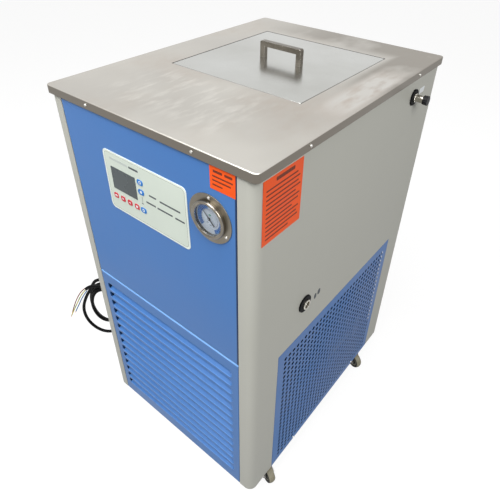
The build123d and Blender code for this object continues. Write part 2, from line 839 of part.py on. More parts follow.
with BuildPart() as gauge_pointer:
    with BuildSketch(gauge_plane.offset(pointer_low)):
        with BuildLine():
            Polyline(
                on_pointer(-pointer_tail, -pointer_tail_half),
                on_pointer(-pointer_tail, pointer_tail_half),
                on_pointer(0, pointer_half),
                on_pointer(pointer_reach, pointer_tip_half),
                on_pointer(pointer_reach, -pointer_tip_half),
                on_pointer(0, -pointer_half),
                close=True,
            )
        make_face()
        Circle(3)
    extrude(amount=pointer_thickness)
    with BuildSketch(gauge_plane.offset(pointer_low)):
        Circle(2.2)
    extrude(amount=1.8)
    with BuildSketch(gauge_plane.offset(pointer_low)):
        Circle(staff_radius + 0.08)
    extrude(amount=3, mode=Mode.SUBTRACT)
save(gauge_pointer, "gauge_pointer")

with BuildPart() as gauge_glass:
    with BuildSketch(gauge_plane.offset(5.4)):
        Circle(bezel_inner - 0.15)
    extrude(amount=1.6)
save(gauge_glass, "gauge_glass")

with BuildPart() as gauge_screws:
    with BuildSketch(gauge_plane.offset(sheet)):
        with PolarLocations(gauge_screw_circle, 3, 90):
            Circle(2.7)
    extrude(amount=1.6)
    fillet(gauge_screws.faces().group_by(Axis.Y)[0].edges(), 1)
save(gauge_screws, "gauge_screws")

# The outlet port is a threaded barrel through a black washer, closed by a cap.
outlet_face = Plane(origin=(body_x, outlet_y, outlet_z), x_dir=(0, 1, 0), z_dir=(1, 0, 0))
washer = 3.5
drain_bore_depth = 5.0
socket_radius = 4.6
socket_depth = 2.5
with BuildPart() as outlet_washer:
    with BuildSketch(outlet_face):
        Circle(washer_radius)
        Circle(outlet_radius, mode=Mode.SUBTRACT)
    extrude(amount=washer)
    fillet(outlet_washer.faces().sort_by(Axis.X)[-1].edges().sort_by(SortBy.LENGTH)[-1], 1.2)
save(outlet_washer, "outlet_washer")

with BuildPart() as outlet_barrel:
    with BuildSketch(outlet_face.offset(-sheet)):
        Circle(outlet_radius)
    extrude(amount=sheet + outlet_length)
    with BuildSketch(outlet_face.offset(washer)):
        RegularPolygon(outlet_radius + 2.4, 6)
    extrude(amount=2.5)
save(outlet_barrel, "outlet_barrel")

cap_ribs = 14
rib_height = 0.7
with BuildPart() as outlet_cap:
    with BuildSketch(outlet_face.offset(outlet_length)):
        Circle(cap_radius - rib_height)
        with PolarLocations(cap_radius - rib_height, cap_ribs):
            Circle(rib_height)
    extrude(amount=cap_length)
    with BuildSketch(outlet_face.offset(outlet_length - cap_skirt)):
        Circle(cap_radius - rib_height)
        Circle(outlet_radius, mode=Mode.SUBTRACT)
    extrude(amount=cap_skirt)
save(outlet_cap, "outlet_cap")

# The drain port is a short steel stub in a black washer, closed by a plug with a
# hexagonal socket deep in its bore.
drain_face = Plane(origin=(body_x, drain_y, drain_z), x_dir=(0, 1, 0), z_dir=(1, 0, 0))
with BuildPart() as drain_washer:
    with BuildSketch(drain_face):
        Circle(drain_washer_radius)
        Circle(drain_radius, mode=Mode.SUBTRACT)
    extrude(amount=washer)
    fillet(drain_washer.faces().sort_by(Axis.X)[-1].edges().sort_by(SortBy.LENGTH)[-1], 1.2)
save(drain_washer, "drain_washer")

with BuildPart() as drain_plug:
    with BuildSketch(drain_face.offset(-sheet)):
        Circle(drain_radius)
    extrude(amount=sheet + drain_length)
    chamfer(drain_plug.faces().sort_by(Axis.X)[-1].edges(), 0.8)
    with BuildSketch(drain_face.offset(drain_length)):
        Circle(drain_bore)
    extrude(amount=-drain_bore_depth, mode=Mode.SUBTRACT)
    with BuildSketch(drain_face.offset(drain_length - drain_bore_depth)):
        RegularPolygon(socket_radius, 6)
    extrude(amount=-socket_depth, mode=Mode.SUBTRACT)
save(drain_plug, "drain_plug")

# Screws hold the flange of the top plate and the bottom of the grille.
screw_radius = 2.8
screw_head = 1.8
flange_screw_z = top_z - plate_flange / 2
flange_screw_x = body_x - 119.0
flange_screw_y = body_y - 125.0
plate_front = Plane(origin=(0, -plate_depth / 2, flange_screw_z), x_dir=(1, 0, 0), z_dir=(0, -1, 0))
plate_back = Plane(origin=(0, plate_depth / 2, flange_screw_z), x_dir=(-1, 0, 0), z_dir=(0, 1, 0))
plate_right = Plane(origin=(plate_width / 2, 0, flange_screw_z), x_dir=(0, 1, 0), z_dir=(1, 0, 0))
plate_left = Plane(origin=(-plate_width / 2, 0, flange_screw_z), x_dir=(0, -1, 0), z_dir=(-1, 0, 0))
with BuildPart() as flange_screws:
    for face, along in (
        (plate_front, flange_screw_x),
        (plate_back, flange_screw_x),
        (plate_right, flange_screw_y),
        (plate_left, flange_screw_y),
    ):
        with BuildSketch(face):
            with GridLocations(2 * along, 1, 2, 1):
                Circle(screw_radius)
        extrude(amount=screw_head, taper=18)
save(flange_screws, "flange_screws")

grille_screw_y = grille_width / 2 - 92.0
grille_screw_z = floor_gap + 9.5
with BuildPart() as grille_screws:
    with BuildSketch(right_face):
        with Locations((-grille_screw_y, grille_screw_z), (grille_screw_y, grille_screw_z)):
            Circle(screw_radius)
    extrude(amount=screw_head, taper=18)
save(grille_screws, "grille_screws")

# Two plain orange stickers, one beside the gauge and one on the right side.
sticker = 0.4
front_sticker_size = (49.5, 39.5)
front_sticker_place = (body_x - 62.3, top_z - 38.0)
side_sticker_size = (98.8, 116.0)
side_sticker_place = (-body_y + 63.7, top_z - 79.0)
with BuildPart() as front_sticker:
    with BuildSketch(front_face):
        with Locations(front_sticker_place):
            Rectangle(*front_sticker_size)
    extrude(amount=sticker)
save(front_sticker, "front_sticker")

with BuildPart() as side_sticker:
    with BuildSketch(right_face):
        with Locations(side_sticker_place):
            Rectangle(*side_sticker_size)
    extrude(amount=sticker)
save(side_sticker, "side_sticker")

# Each caster has a fixed plate with a bearing race, a fork that swivels under it
# and a wheel on the fork's axle.
caster_spots = {
    "front_left": (-caster_x, caster_front_y),
    "front_right": (caster_x, caster_front_y),
    "rear_left": (-caster_x, caster_rear_y),
    "rear_right": (caster_x, caster_rear_y),
}
plate_thickness = 2.5
race_height = 5.0
race_low = floor_gap - plate_thickness - race_height
fork_top = race_low - running_gap
kingpin_radius = 4.0
fork_inner = wheel_width / 2 + 0.6
fork_outer = fork_inner + fork_sheet
trail_direction = Vector(cos(radians(trail_angle)), sin(radians(trail_angle)), 0)
axle_direction = Vector(-sin(radians(trail_angle)), cos(radians(trail_angle)), 0)

with BuildPart() as caster_plates:
    with BuildSketch(Plane.XY.offset(floor_gap)):
        with Locations(*caster_spots.values()):
            RectangleRounded(caster_plate, caster_plate, 5)
    extrude(amount=-plate_thickness)
    with BuildSketch(Plane.XY.offset(floor_gap - plate_thickness)):
        with Locations(*caster_spots.values()):
            Circle(swivel_radius)
    extrude(amount=-race_height)
    with BuildSketch(Plane.XY.offset(race_low)):
        with Locations(*caster_spots.values()):
            Circle(kingpin_radius)
    extrude(amount=-running_gap - fork_sheet - 1)
save(caster_plates, "caster_plates")

for spot, (x, y) in caster_spots.items():
    crown = Plane(origin=(x, y, fork_top), x_dir=trail_direction, z_dir=(0, 0, 1))
    hub = Vector(x, y, wheel_radius) + trail_direction * caster_trail
    cheek = Plane(origin=hub, x_dir=trail_direction, z_dir=axle_direction * -1)
    crown_height = fork_top - wheel_radius

    with BuildPart() as fork:
        with BuildSketch(cheek):
            with BuildLine():
                Polyline(
                    (-caster_trail - swivel_radius + 3, crown_height),
                    (-caster_trail - swivel_radius + 3, crown_height - fork_sheet - 3),
                    (-8, -4),
                    (8, -4),
                    (8, 4),
                    (-caster_trail + swivel_radius - 3, crown_height),
                    close=True,
                )
            make_face()
            Circle(8)
        extrude(amount=fork_outer, both=True)
        with BuildSketch(cheek):
            with Locations((0, crown_height / 2 - fork_sheet - 15)):
                Rectangle(4 * wheel_radius, crown_height + 30)
        extrude(amount=fork_inner, both=True, mode=Mode.SUBTRACT)
        with BuildSketch(crown):
            Circle(swivel_radius)
        extrude(amount=-fork_sheet)
        with BuildSketch(crown):
            Circle(kingpin_radius + 0.08)
        extrude(amount=-fork_sheet, mode=Mode.SUBTRACT)
        with BuildSketch(cheek):
            Circle(axle_radius)
        extrude(amount=fork_outer + 2, both=True)
    save(fork, f"caster_fork_{spot}")

    with BuildPart() as wheel:
        section = Plane(origin=hub, x_dir=trail_direction, z_dir=(0, 0, 1))
        with BuildSketch(section):
            with BuildLine():
                Polyline(
                    (axle_radius + 0.08, -wheel_width / 2),
                    (9, -wheel_width / 2),
                    (10, -wheel_width / 2 + 2),
                    (17, -wheel_width / 2 + 2),
                    (18.5, -wheel_width / 2 + 0.6),
                    (wheel_radius - 3, -wheel_width / 2 + 0.6),
                )
                ThreePointArc(
                    (wheel_radius - 3, -wheel_width / 2 + 0.6),
                    (wheel_radius, 0),
                    (wheel_radius - 3, wheel_width / 2 - 0.6),
                )
                Polyline(
                    (wheel_radius - 3, wheel_width / 2 - 0.6),
                    (18.5, wheel_width / 2 - 0.6),
                    (17, wheel_width / 2 - 2),
                    (10, wheel_width / 2 - 2),
                    (9, wheel_width / 2),
                    (axle_radius + 0.08, wheel_width / 2),
                    (axle_radius + 0.08, -wheel_width / 2),
                )
            make_face()
        revolve(axis=Axis(hub, axle_direction))
    save(wheel, f"caster_wheel_{spot}")

# The cable leaves the left side through a gland with a tapered sleeve.
gland_face = Plane(origin=(-body_x, gland_y, gland_z), x_dir=(0, -1, 0), z_dir=(-1, 0, 0))
gland_section = Plane(origin=(-body_x, gland_y, gland_z), x_dir=(0, 0, 1), z_dir=(0, 1, 0))
cable_radius = cable_diameter / 2
with BuildPart() as cable_gland:
    with BuildSketch(gland_face):
        RegularPolygon(12, 6)
    extrude(amount=5)
    with BuildSketch(gland_face.offset(5)):
        Circle(10)
    with BuildSketch(gland_face.offset(gland_length)):
        Circle(cable_radius + 1.6)
    loft()
    with BuildSketch(gland_face.offset(gland_length)):
        Circle(cable_radius)
    extrude(amount=-gland_bore, mode=Mode.SUBTRACT)
save(cable_gland, "cable_gland")

# The cable's spare length hangs beside the gland as an oval coil. The coil lies in
# an upright plane that stands out from the left side, and a point in that plane is
# given by its distance out from the side and its height.
outward = Vector(-cos(radians(coil_angle)), -sin(radians(coil_angle)), 0)


def in_coil(out, height, forward=0.0):
    """The place of a point in the coil's plane, or forward of it."""
    across = Vector(-outward.Y, outward.X, 0) * forward
    return Vector(-body_x, -coil_side, height) + outward * out + across


coil_plane = Plane(origin=in_coil(0, 0), x_dir=outward, z_dir=(outward.Y, -outward.X, 0))

with BuildPart() as cable_coil:
    with BuildSketch(coil_plane):
        with Locations(ring_centre):
            SlotCenterToCenter(2 * (ring_half_height - ring_half_width), 2 * ring_half_width, rotation=90)
        with Locations(ring_hole_centre):
            SlotCenterToCenter(
                2 * (ring_hole_half_height - ring_hole_half_width),
                2 * ring_hole_half_width,
                rotation=90,
                mode=Mode.SUBTRACT,
            )
    extrude(amount=ring_thickness / 2, both=True)
save(cable_coil, "cable_coil")

lead_start = Vector(-body_x - gland_length + gland_bore - 1, gland_y, gland_z)
lead_points = [
    lead_start,
    lead_start + Vector(-12, 0, 0),
    lead_start + Vector(-29, -4, -3),
    lead_start + Vector(-45, -15, -10),
    in_coil(104, gland_z - 30),
]


def cable_tube(points, arc_share=0.45):
    """Sweep the cable along straight runs joined by the largest arcs they allow."""
    radii = []
    for before, here, after in zip(points, points[1:], points[2:]):
        first = here - before
        second = after - here
        run = min(first.length, second.length)
        radii.append(arc_share * run / tan(radians(first.get_angle(second) / 2)))
    with BuildLine() as route:
        FilletPolyline(*points, radius=radii)
    path = route.wire()
    with BuildSketch(Plane(origin=path @ 0, z_dir=path % 0)) as section:
        Circle(cable_radius)
    sweep(section.sketch, path=path)
    print("cable radii", [round(r, 1) for r in radii], "length", round(path.length, 1))
    return path.length


with BuildPart() as cable_lead:
    cable_tube(lead_points)
print("volume over section", cable_lead.part.volume / (3.14159265 * cable_radius**2))
save(cable_lead, "cable_lead")

tail_points = [
    in_coil(21, gland_z - 70, 9),
    in_coil(27, gland_z - 38, 14),
    in_coil(45, gland_z - 12, 17),
    in_coil(76, gland_z - 9, 17),
    in_coil(96, gland_z - 29, 17),
    in_coil(104, gland_z - 54, 17),
]
with BuildPart() as cable_tail:
    cable_tube(tail_points)
print("volume over section", cable_tail.part.volume / (3.14159265 * cable_radius**2))
save(cable_tail, "cable_tail")

# The end of the cable is bare, with three cores fanned out below it.
core_radius = 1.3
core_start = tail_points[-1]
core_tips = (
    in_coil(150, gland_z - 124, 17),
    in_coil(158, gland_z - 138, 22),
    in_coil(166, gland_z - 130, 28),
)
with BuildPart() as cable_cores:
    for number, tip in enumerate(core_tips):
        core_root = core_start + Vector(-outward.Y, outward.X, 0) * (2.6 * (number - 1))
        core_line = tip - core_root
        with BuildSketch(Plane(origin=core_root, z_dir=core_line)):
            Circle(core_radius)
        extrude(amount=core_line.length)
save(cable_cores, "cable_cores")
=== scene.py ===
"""Blender scene of a low-temperature recirculating chiller on casters.

Each section below is one piece, or one group of like pieces, with its sizes, its
finish and its place. Lengths are metres: x runs right along the blue front, y to
the back and z up from the floor.
"""
from math import cos, pi, radians, sin

import bpy
from mathutils import Matrix, Vector


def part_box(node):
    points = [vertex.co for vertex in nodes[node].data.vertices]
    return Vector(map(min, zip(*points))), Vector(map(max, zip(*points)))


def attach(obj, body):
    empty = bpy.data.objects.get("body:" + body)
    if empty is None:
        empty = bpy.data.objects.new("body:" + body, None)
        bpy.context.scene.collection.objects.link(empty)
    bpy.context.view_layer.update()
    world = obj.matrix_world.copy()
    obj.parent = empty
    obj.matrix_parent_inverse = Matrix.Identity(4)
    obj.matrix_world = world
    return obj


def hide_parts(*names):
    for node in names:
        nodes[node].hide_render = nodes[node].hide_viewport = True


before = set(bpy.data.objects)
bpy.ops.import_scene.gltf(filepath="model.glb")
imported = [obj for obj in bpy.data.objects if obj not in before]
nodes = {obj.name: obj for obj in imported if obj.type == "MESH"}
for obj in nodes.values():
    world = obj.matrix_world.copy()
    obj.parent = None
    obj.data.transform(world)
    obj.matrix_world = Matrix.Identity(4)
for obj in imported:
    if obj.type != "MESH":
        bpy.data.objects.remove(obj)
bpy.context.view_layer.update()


# Camera. It stands in front of the chiller and to its right, above the top plate,
# and looks down on the corner between the blue front and the grey right side.
def set_along(place, right, up, out):
    """The matrix of a thing at place, whose own axes point these three ways."""
    return Matrix.Translation(place) @ Matrix((right, up, out)).transposed().to_4x4()


camera_place = Vector((0.57809, -0.74542, 1.28723))
camera_yaw = 0.665155
camera_pitch = -0.618399
camera_roll = 0.019613
level_right = Vector((cos(camera_yaw), sin(camera_yaw), 0))
view_line = Vector((
    -sin(camera_yaw) * cos(camera_pitch),
    cos(camera_yaw) * cos(camera_pitch),
    sin(camera_pitch),
))
level_up = level_right.cross(view_line)
camera_right = level_right * cos(camera_roll) + level_up * sin(camera_roll)
camera_up = level_up * cos(camera_roll) - level_right * sin(camera_roll)
camera = bpy.data.objects.new("camera", bpy.data.cameras.new("camera"))
camera.data.sensor_width = 36
camera.data.lens = 34.208
camera.data.shift_x = -0.0140
camera.data.shift_y = -0.0825
camera.data.clip_start = 0.01
camera.matrix_world = set_along(camera_place, camera_right, camera_up, -view_line)
bpy.context.scene.collection.objects.link(camera)
bpy.context.scene.camera = camera
bpy.context.scene.view_settings.view_transform = "Standard"

# Light. The room is pale all round, and shows white to the camera and in the steel.
# Three soft square lights, high over the front and the right, shape the cabinet.
room_level = 0.22


def white_to_the_eye(tree, plain, white):
    """Joins a plain shader and a white one, which camera, mirror and glass rays see."""
    path = tree.nodes.new("ShaderNodeLightPath")
    seen = path.outputs["Is Camera Ray"]
    for ray in ("Is Glossy Ray", "Is Transmission Ray"):
        either = tree.nodes.new("ShaderNodeMath")
        either.operation = "MAXIMUM"
        tree.links.new(seen, either.inputs[0])
        tree.links.new(path.outputs[ray], either.inputs[1])
        seen = either.outputs[0]
    joined = tree.nodes.new("ShaderNodeMixShader")
    tree.links.new(seen, joined.inputs[0])
    tree.links.new(plain, joined.inputs[1])
    tree.links.new(white, joined.inputs[2])
    return joined.outputs[0]


room = bpy.data.worlds.new("room")
bpy.context.scene.world = room
room.use_nodes = True
room_plain = room.node_tree.nodes["Background"]
room_plain.inputs["Color"].default_value = (1.0, 0.99, 0.97, 1)
room_plain.inputs["Strength"].default_value = room_level
room_white = room.node_tree.nodes.new("ShaderNodeBackground")
room_white.inputs["Color"].default_value = (1, 1, 1, 1)
room.node_tree.links.new(
    white_to_the_eye(room.node_tree, room_plain.outputs[0], room_white.outputs[0]),
    room.node_tree.nodes["World Output"].inputs["Surface"],
)


def soft_light(name, place, target, size, power):
    """A square area light at place, turned to target."""
    light = bpy.data.lights.new(name, "AREA")
    light.size = size
    light.energy = power
    lamp = bpy.data.objects.new(name, light)
    lamp.location = place
    lamp.rotation_euler = (Vector(target) - Vector(place)).to_track_quat("-Z", "Y").to_euler()
    bpy.context.scene.collection.objects.link(lamp)


soft_light("ceiling_light", (-0.1, -0.9, 2.9), (0, -0.3, 0.5), 1.4, 52)
soft_light("front_light", (-0.5, -2.0, 2.9), (0, -0.3, 0.5), 1.4, 50)
soft_light("right_light", (2.1, -1.1, 2.5), (0.2, 0, 0.5), 1.4, 56)


# Floor. A plain pale floor, wide enough to pass for endless, that keeps the soft
# shadow of the cabinet and shows nearly white to the camera.
def tint(red, green, blue):
    """A colour given as it looks on a screen, from 0 to 255, as Blender wants it."""
    shares = [level / 255 for level in (red, green, blue)]
    return tuple(s / 12.92 if s <= 0.04045 else ((s + 0.055) / 1.055) ** 2.4 for s in shares) + (1,)


def pick_only(*pieces):
    """These pieces are selected and nothing else is. The last one is active."""
    bpy.ops.object.select_all(action="DESELECT")
    for piece in pieces:
        piece.select_set(True)
    bpy.context.view_layer.objects.active = pieces[-1]


bpy.ops.object.select_all(action="DESELECT")
bpy.ops.mesh.primitive_plane_add(size=60, location=(0, 0, 0))
floor = bpy.context.object
floor.name = "floor"
floor_finish = bpy.data.materials.new("pale_floor")
floor_finish.use_nodes = True
floor_tree = floor_finish.node_tree
floor_plain = floor_tree.nodes["Principled BSDF"]
floor_plain.inputs["Base Color"].default_value = tint(116, 116, 116)
floor_plain.inputs["Roughness"].default_value = 0.9
floor_plain.inputs["Specular IOR Level"].default_value = 0.1
floor_glow = floor_tree.nodes.new("ShaderNodeEmission")
floor_glow.inputs["Strength"].default_value = 0.88
floor_both = floor_tree.nodes.new("ShaderNodeAddShader")
floor_tree.links.new(floor_plain.outputs[0], floor_both.inputs[0])
floor_tree.links.new(floor_glow.outputs[0], floor_both.inputs[1])
floor_tree.links.new(
    white_to_the_eye(floor_tree, floor_plain.outputs[0], floor_both.outputs[0]),
    floor_tree.nodes["Material Output"].inputs["Surface"],
)
floor.data.materials.append(floor_finish)


# Supply cable. A round black PVC cable leaves the left side through its gland. Its
# spare length hangs beside the gland as a loose coil of four turns, held by a tie,
# and the cable ends bare above the coil.
def shader_group(name, sockets_in, sockets_out):
    """An empty node group with these sockets, and its input and output nodes."""
    group = bpy.data.node_groups.new(name, "ShaderNodeTree")
    for label, kind, value in sockets_in:
        socket = group.interface.new_socket(label, in_out="INPUT", socket_type=kind)
        socket.default_value = value
    for label, kind in sockets_out:
        group.interface.new_socket(label, in_out="OUTPUT", socket_type=kind)
    return group, group.nodes.new("NodeGroupInput"), group.nodes.new("NodeGroupOutput")


# A patch mask: soft clouds, or streaks where Stretch differs between the axes.
even = (1, 1, 1)
patches, patches_in, patches_out = shader_group(
    "patches",
    (("Scale", "NodeSocketFloat", 6.0), ("Stretch", "NodeSocketVector", even),
     ("Detail", "NodeSocketFloat", 4.0), ("Low", "NodeSocketFloat", 0.35),
     ("High", "NodeSocketFloat", 0.65)),
    (("Mask", "NodeSocketFloat"),),
)
patch_place = patches.nodes.new("ShaderNodeTexCoord")
patch_stretch = patches.nodes.new("ShaderNodeVectorMath")
patch_stretch.operation = "MULTIPLY"
patch_noise = patches.nodes.new("ShaderNodeTexNoise")
patch_range = patches.nodes.new("ShaderNodeMapRange")
patches.links.new(patch_place.outputs["Object"], patch_stretch.inputs[0])
patches.links.new(patches_in.outputs["Stretch"], patch_stretch.inputs[1])
patches.links.new(patch_stretch.outputs[0], patch_noise.inputs["Vector"])
patches.links.new(patches_in.outputs["Scale"], patch_noise.inputs["Scale"])
patches.links.new(patches_in.outputs["Detail"], patch_noise.inputs["Detail"])
patches.links.new(patch_noise.outputs["Fac"], patch_range.inputs["Value"])
patches.links.new(patches_in.outputs["Low"], patch_range.inputs["From Min"])
patches.links.new(patches_in.outputs["High"], patch_range.inputs["From Max"])
patches.links.new(patch_range.outputs["Result"], patches_out.inputs["Mask"])

# Rubbed edges: a mask that is full where the surface turns sharply within the radius.
# Wear starts at the first cosine of that turn, and is full at the second.
wear_starts = 0.995
wear_full = 0.85
rubbed, rubbed_in, rubbed_out = shader_group(
    "rubbed_edges",
    (("Radius", "NodeSocketFloat", 0.001), ("Amount", "NodeSocketFloat", 0.5)),
    (("Mask", "NodeSocketFloat"), ("Normal", "NodeSocketVector")),
)
rub_bevel = rubbed.nodes.new("ShaderNodeBevel")
rub_bevel.samples = 4
rub_shape = rubbed.nodes.new("ShaderNodeNewGeometry")
rub_turn = rubbed.nodes.new("ShaderNodeVectorMath")
rub_turn.operation = "DOT_PRODUCT"
rub_range = rubbed.nodes.new("ShaderNodeMapRange")
rub_range.inputs["From Min"].default_value = wear_starts
rub_range.inputs["From Max"].default_value = wear_full
rub_share = rubbed.nodes.new("ShaderNodeMath")
rub_share.operation = "MULTIPLY"
rubbed.links.new(rubbed_in.outputs["Radius"], rub_bevel.inputs["Radius"])
rubbed.links.new(rub_bevel.outputs[0], rub_turn.inputs[0])
rubbed.links.new(rub_shape.outputs["Normal"], rub_turn.inputs[1])
rubbed.links.new(rub_turn.outputs["Value"], rub_range.inputs["Value"])
rubbed.links.new(rub_range.outputs["Result"], rub_share.inputs[0])
rubbed.links.new(rubbed_in.outputs["Amount"], rub_share.inputs[1])
rubbed.links.new(rub_share.outputs[0], rubbed_out.inputs["Mask"])
rubbed.links.new(rub_bevel.outputs[0], rubbed_out.inputs["Normal"])


def placed_group(tree, group, **values):
    """A shader group placed in a material with its own values."""
    node = tree.nodes.new("ShaderNodeGroup")
    node.node_tree = group
    for label, value in values.items():
        node.inputs[label].default_value = value
    return node


def blend_colours(tree, mask, low, high):
    """A colour between low and high. Each is a colour or a socket."""
    mixer = tree.nodes.new("ShaderNodeMix")
    mixer.data_type = "RGBA"
    tree.links.new(mask, mixer.inputs["Factor"])
    for end, colour in (("A", low), ("B", high)):
        socket = [s for s in mixer.inputs if s.name == end and s.type == "RGBA"][0]
        if isinstance(colour, tuple):
            socket.default_value = colour
        else:
            tree.links.new(colour, socket)
    return [s for s in mixer.outputs if s.type == "RGBA"][0]


wear_share = 0.7
grain_detail = 2.0


def finish(name, low, high, rough, clouds=(6.0, even), grain=(600.0, even), bump=0.15,
           depth=0.0002, worn=None, edge=0.0008, metallic=0.0, specular=0.25):
    """A finish in two tones, with cloudy gloss, a fine grain and rubbed edges.

    Clouds and grain are each a scale and a stretch, and rough is the gloss of both tones.
    """
    made = bpy.data.materials.new(name)
    made.use_nodes = True
    tree = made.node_tree
    shader = tree.nodes["Principled BSDF"]
    shader.inputs["Metallic"].default_value = metallic
    shader.inputs["Specular IOR Level"].default_value = specular
    tone = placed_group(tree, patches, Scale=clouds[0], Stretch=clouds[1])
    colour = blend_colours(tree, tone.outputs["Mask"], low, high)
    edges = placed_group(tree, rubbed, Radius=edge, Amount=wear_share)
    if worn is not None:
        colour = blend_colours(tree, edges.outputs["Mask"], colour, worn)
    tree.links.new(colour, shader.inputs["Base Color"])
    gloss = tree.nodes.new("ShaderNodeMapRange")
    gloss.inputs["To Min"].default_value = rough[0]
    gloss.inputs["To Max"].default_value = rough[1]
    tree.links.new(tone.outputs["Mask"], gloss.inputs["Value"])
    tree.links.new(gloss.outputs["Result"], shader.inputs["Roughness"])
    fine = placed_group(tree, patches, Scale=grain[0], Stretch=grain[1], Detail=grain_detail)
    relief = tree.nodes.new("ShaderNodeBump")
    relief.inputs["Strength"].default_value = bump
    relief.inputs["Distance"].default_value = depth
    tree.links.new(fine.outputs["Mask"], relief.inputs["Height"])
    tree.links.new(edges.outputs["Normal"], relief.inputs["Normal"])
    tree.links.new(relief.outputs["Normal"], shader.inputs["Normal"])
    return made


def dress(material, *names):
    """CAD nodes take a finish."""
    for name in names:
        for place in nodes[name].material_slots:
            place.material = material


cable_diameter = 0.0085
gland_tip = Vector((-0.277, -0.285, 0.414))
coil_origin = Vector((-0.247, -0.250, 0))
coil_angle = radians(38.1)
coil_out = Vector((-cos(coil_angle), -sin(coil_angle), 0))
coil_forward = Vector((-coil_out.y, coil_out.x, 0))
cable_jacket = finish("cable_jacket", tint(9, 9, 10), tint(16, 16, 17), (0.42, 0.56),
                      clouds=(40.0, even), grain=(900.0, even), bump=0.1, specular=0.08)


def in_coil(out, height, forward=0.0):
    """A place in the coil's upright plane: out from the side panel, and up."""
    return coil_origin + coil_out * out + coil_forward * forward + Vector((0, 0, height))


def nurbs_line(name, places, radius, material):
    """A round line on a smooth curve that these places lead."""
    curve = bpy.data.curves.new(name, "CURVE")
    curve.dimensions = "3D"
    spline = curve.splines.new("NURBS")
    spline.points.add(len(places) - 1)
    for control, place in zip(spline.points, places):
        control.co = (*place, 1)
    spline.order_u = 3
    spline.use_endpoint_u = True
    spline.resolution_u = 6
    curve.bevel_depth = radius
    curve.bevel_resolution = 5
    curve.use_fill_caps = True
    curve.materials.append(material)
    line = bpy.data.objects.new(name, curve)
    bpy.context.scene.collection.objects.link(line)
    return line


# Each turn: its middle out from the panel and up, its half width and half height,
# and how far forward it hangs. The turns differ, because nothing ties them below.
turn_shapes = (
    (0.0735, 0.272, 0.0690, 0.112, -0.0100),
    (0.0620, 0.322, 0.0400, 0.072, -0.0040),
    (0.0605, 0.324, 0.0370, 0.066, 0.0035),
    (0.0600, 0.325, 0.0345, 0.060, 0.0110),
    (0.0595, 0.326, 0.0335, 0.056, 0.0130),
)
turn_steps = 14
top_pinch = 0.38
first_step = 30.0
last_step = 255.0 + 3 * 360.0


def coil_place(angle):
    """A place on the coil, by its angle from the top of the first turn, in degrees."""
    whole = (angle - first_step) / 360
    number = min(int(whole), len(turn_shapes) - 2)
    share = whole - number
    out, height, half_out, half_height, forward = (
        a + (b - a) * share for a, b in zip(turn_shapes[number], turn_shapes[number + 1])
    )
    hang = top_pinch * max(0.0, cos(radians(angle))) if number == 0 else 0.0
    across = half_out * (1 - hang) * sin(radians(angle))
    return in_coil(out + across, height + half_height * cos(radians(angle)), forward)


cable_places = [
    gland_tip,
    Vector((-0.289, -0.2855, 0.4135)),
    Vector((-0.301, -0.292, 0.4095)),
    in_coil(0.082, 0.398, -0.006),
]
coil_steps = int((last_step - first_step) / 360 * turn_steps)
cable_places += [coil_place(first_step + 360 / turn_steps * step) for step in range(coil_steps + 1)]
cable_places += [
    in_coil(0.0220, 0.350, 0.0130),
    in_coil(0.0290, 0.378, 0.0160),
    in_coil(0.0420, 0.398, 0.0180),
    in_coil(0.0600, 0.407, 0.0185),
    in_coil(0.0780, 0.406, 0.0185),
    in_coil(0.0900, 0.400, 0.0185),
    in_coil(0.0970, 0.394, 0.0185),
]
supply_cable = nurbs_line("supply_cable", cable_places, cable_diameter / 2, cable_jacket)
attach(supply_cable, "cabinet")
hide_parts("cable_lead", "cable_coil", "cable_tail")
dress(cable_jacket, "cable_gland")


# Cable cores. Three insulated cores, brown, yellow and green, and blue, come out of
# the stripped end and fan out below it, each with a short bare copper tip.
def settle(piece, name, material, body="cabinet"):
    """A finished piece: its place goes into its mesh, and it gets its finish and its body."""
    pick_only(piece)
    bpy.ops.object.transform_apply(location=True, rotation=True, scale=True)
    piece.name = name
    piece.data.name = name
    piece.data.materials.clear()
    piece.data.materials.append(material)
    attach(piece, body)
    return piece


core_diameter = 0.0026
tip_radius = core_diameter / 3.2
tip_reaches = (-0.001, 0.002, 0.005)
core_colours = {
    "core_brown": (tint(112, 58, 40), tint(130, 74, 52)),
    "core_earth": (tint(214, 192, 96), tint(66, 128, 62)),
    "core_blue": (tint(24, 84, 132), tint(40, 104, 152)),
}
core_routes = {
    "core_brown": ((0.0955, 0.3970, 0.0145), (0.108, 0.387, 0.0145), (0.121, 0.370, 0.0150),
                   (0.133, 0.348, 0.0160), (0.143, 0.325, 0.0170), (0.150, 0.307, 0.0180)),
    "core_earth": ((0.0960, 0.3940, 0.0188), (0.107, 0.382, 0.0195), (0.119, 0.363, 0.0205),
                   (0.131, 0.340, 0.0215), (0.143, 0.317, 0.0225), (0.153, 0.297, 0.0230)),
    "core_blue": ((0.0945, 0.3910, 0.0225), (0.104, 0.378, 0.0238), (0.114, 0.361, 0.0250),
                  (0.123, 0.343, 0.0262), (0.130, 0.330, 0.0272), (0.135, 0.320, 0.0280)),
}
copper = finish("bare_copper", tint(196, 120, 84), tint(220, 148, 110), (0.25, 0.4), metallic=1.0,
                clouds=(60.0, even), grain=(900.0, even), bump=0.1)
core_pieces = []
for name, (low, high) in core_colours.items():
    jacket = finish(name, low, high, (0.4, 0.5), clouds=(70.0, even), bump=0.05)
    route = [in_coil(*place) for place in core_routes[name]]
    core = nurbs_line(name, route, core_diameter / 2, jacket)
    tip_run = (route[-1] - route[-2]).normalized()
    tip_places = [route[-1] + tip_run * reach for reach in tip_reaches]
    tip = nurbs_line(name + "_tip", tip_places, tip_radius, copper)
    for piece, slot in ((core, "core_jacket"), (tip, "copper")):
        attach(piece, "cabinet")
    core_pieces += [core, tip]
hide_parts("cable_cores")

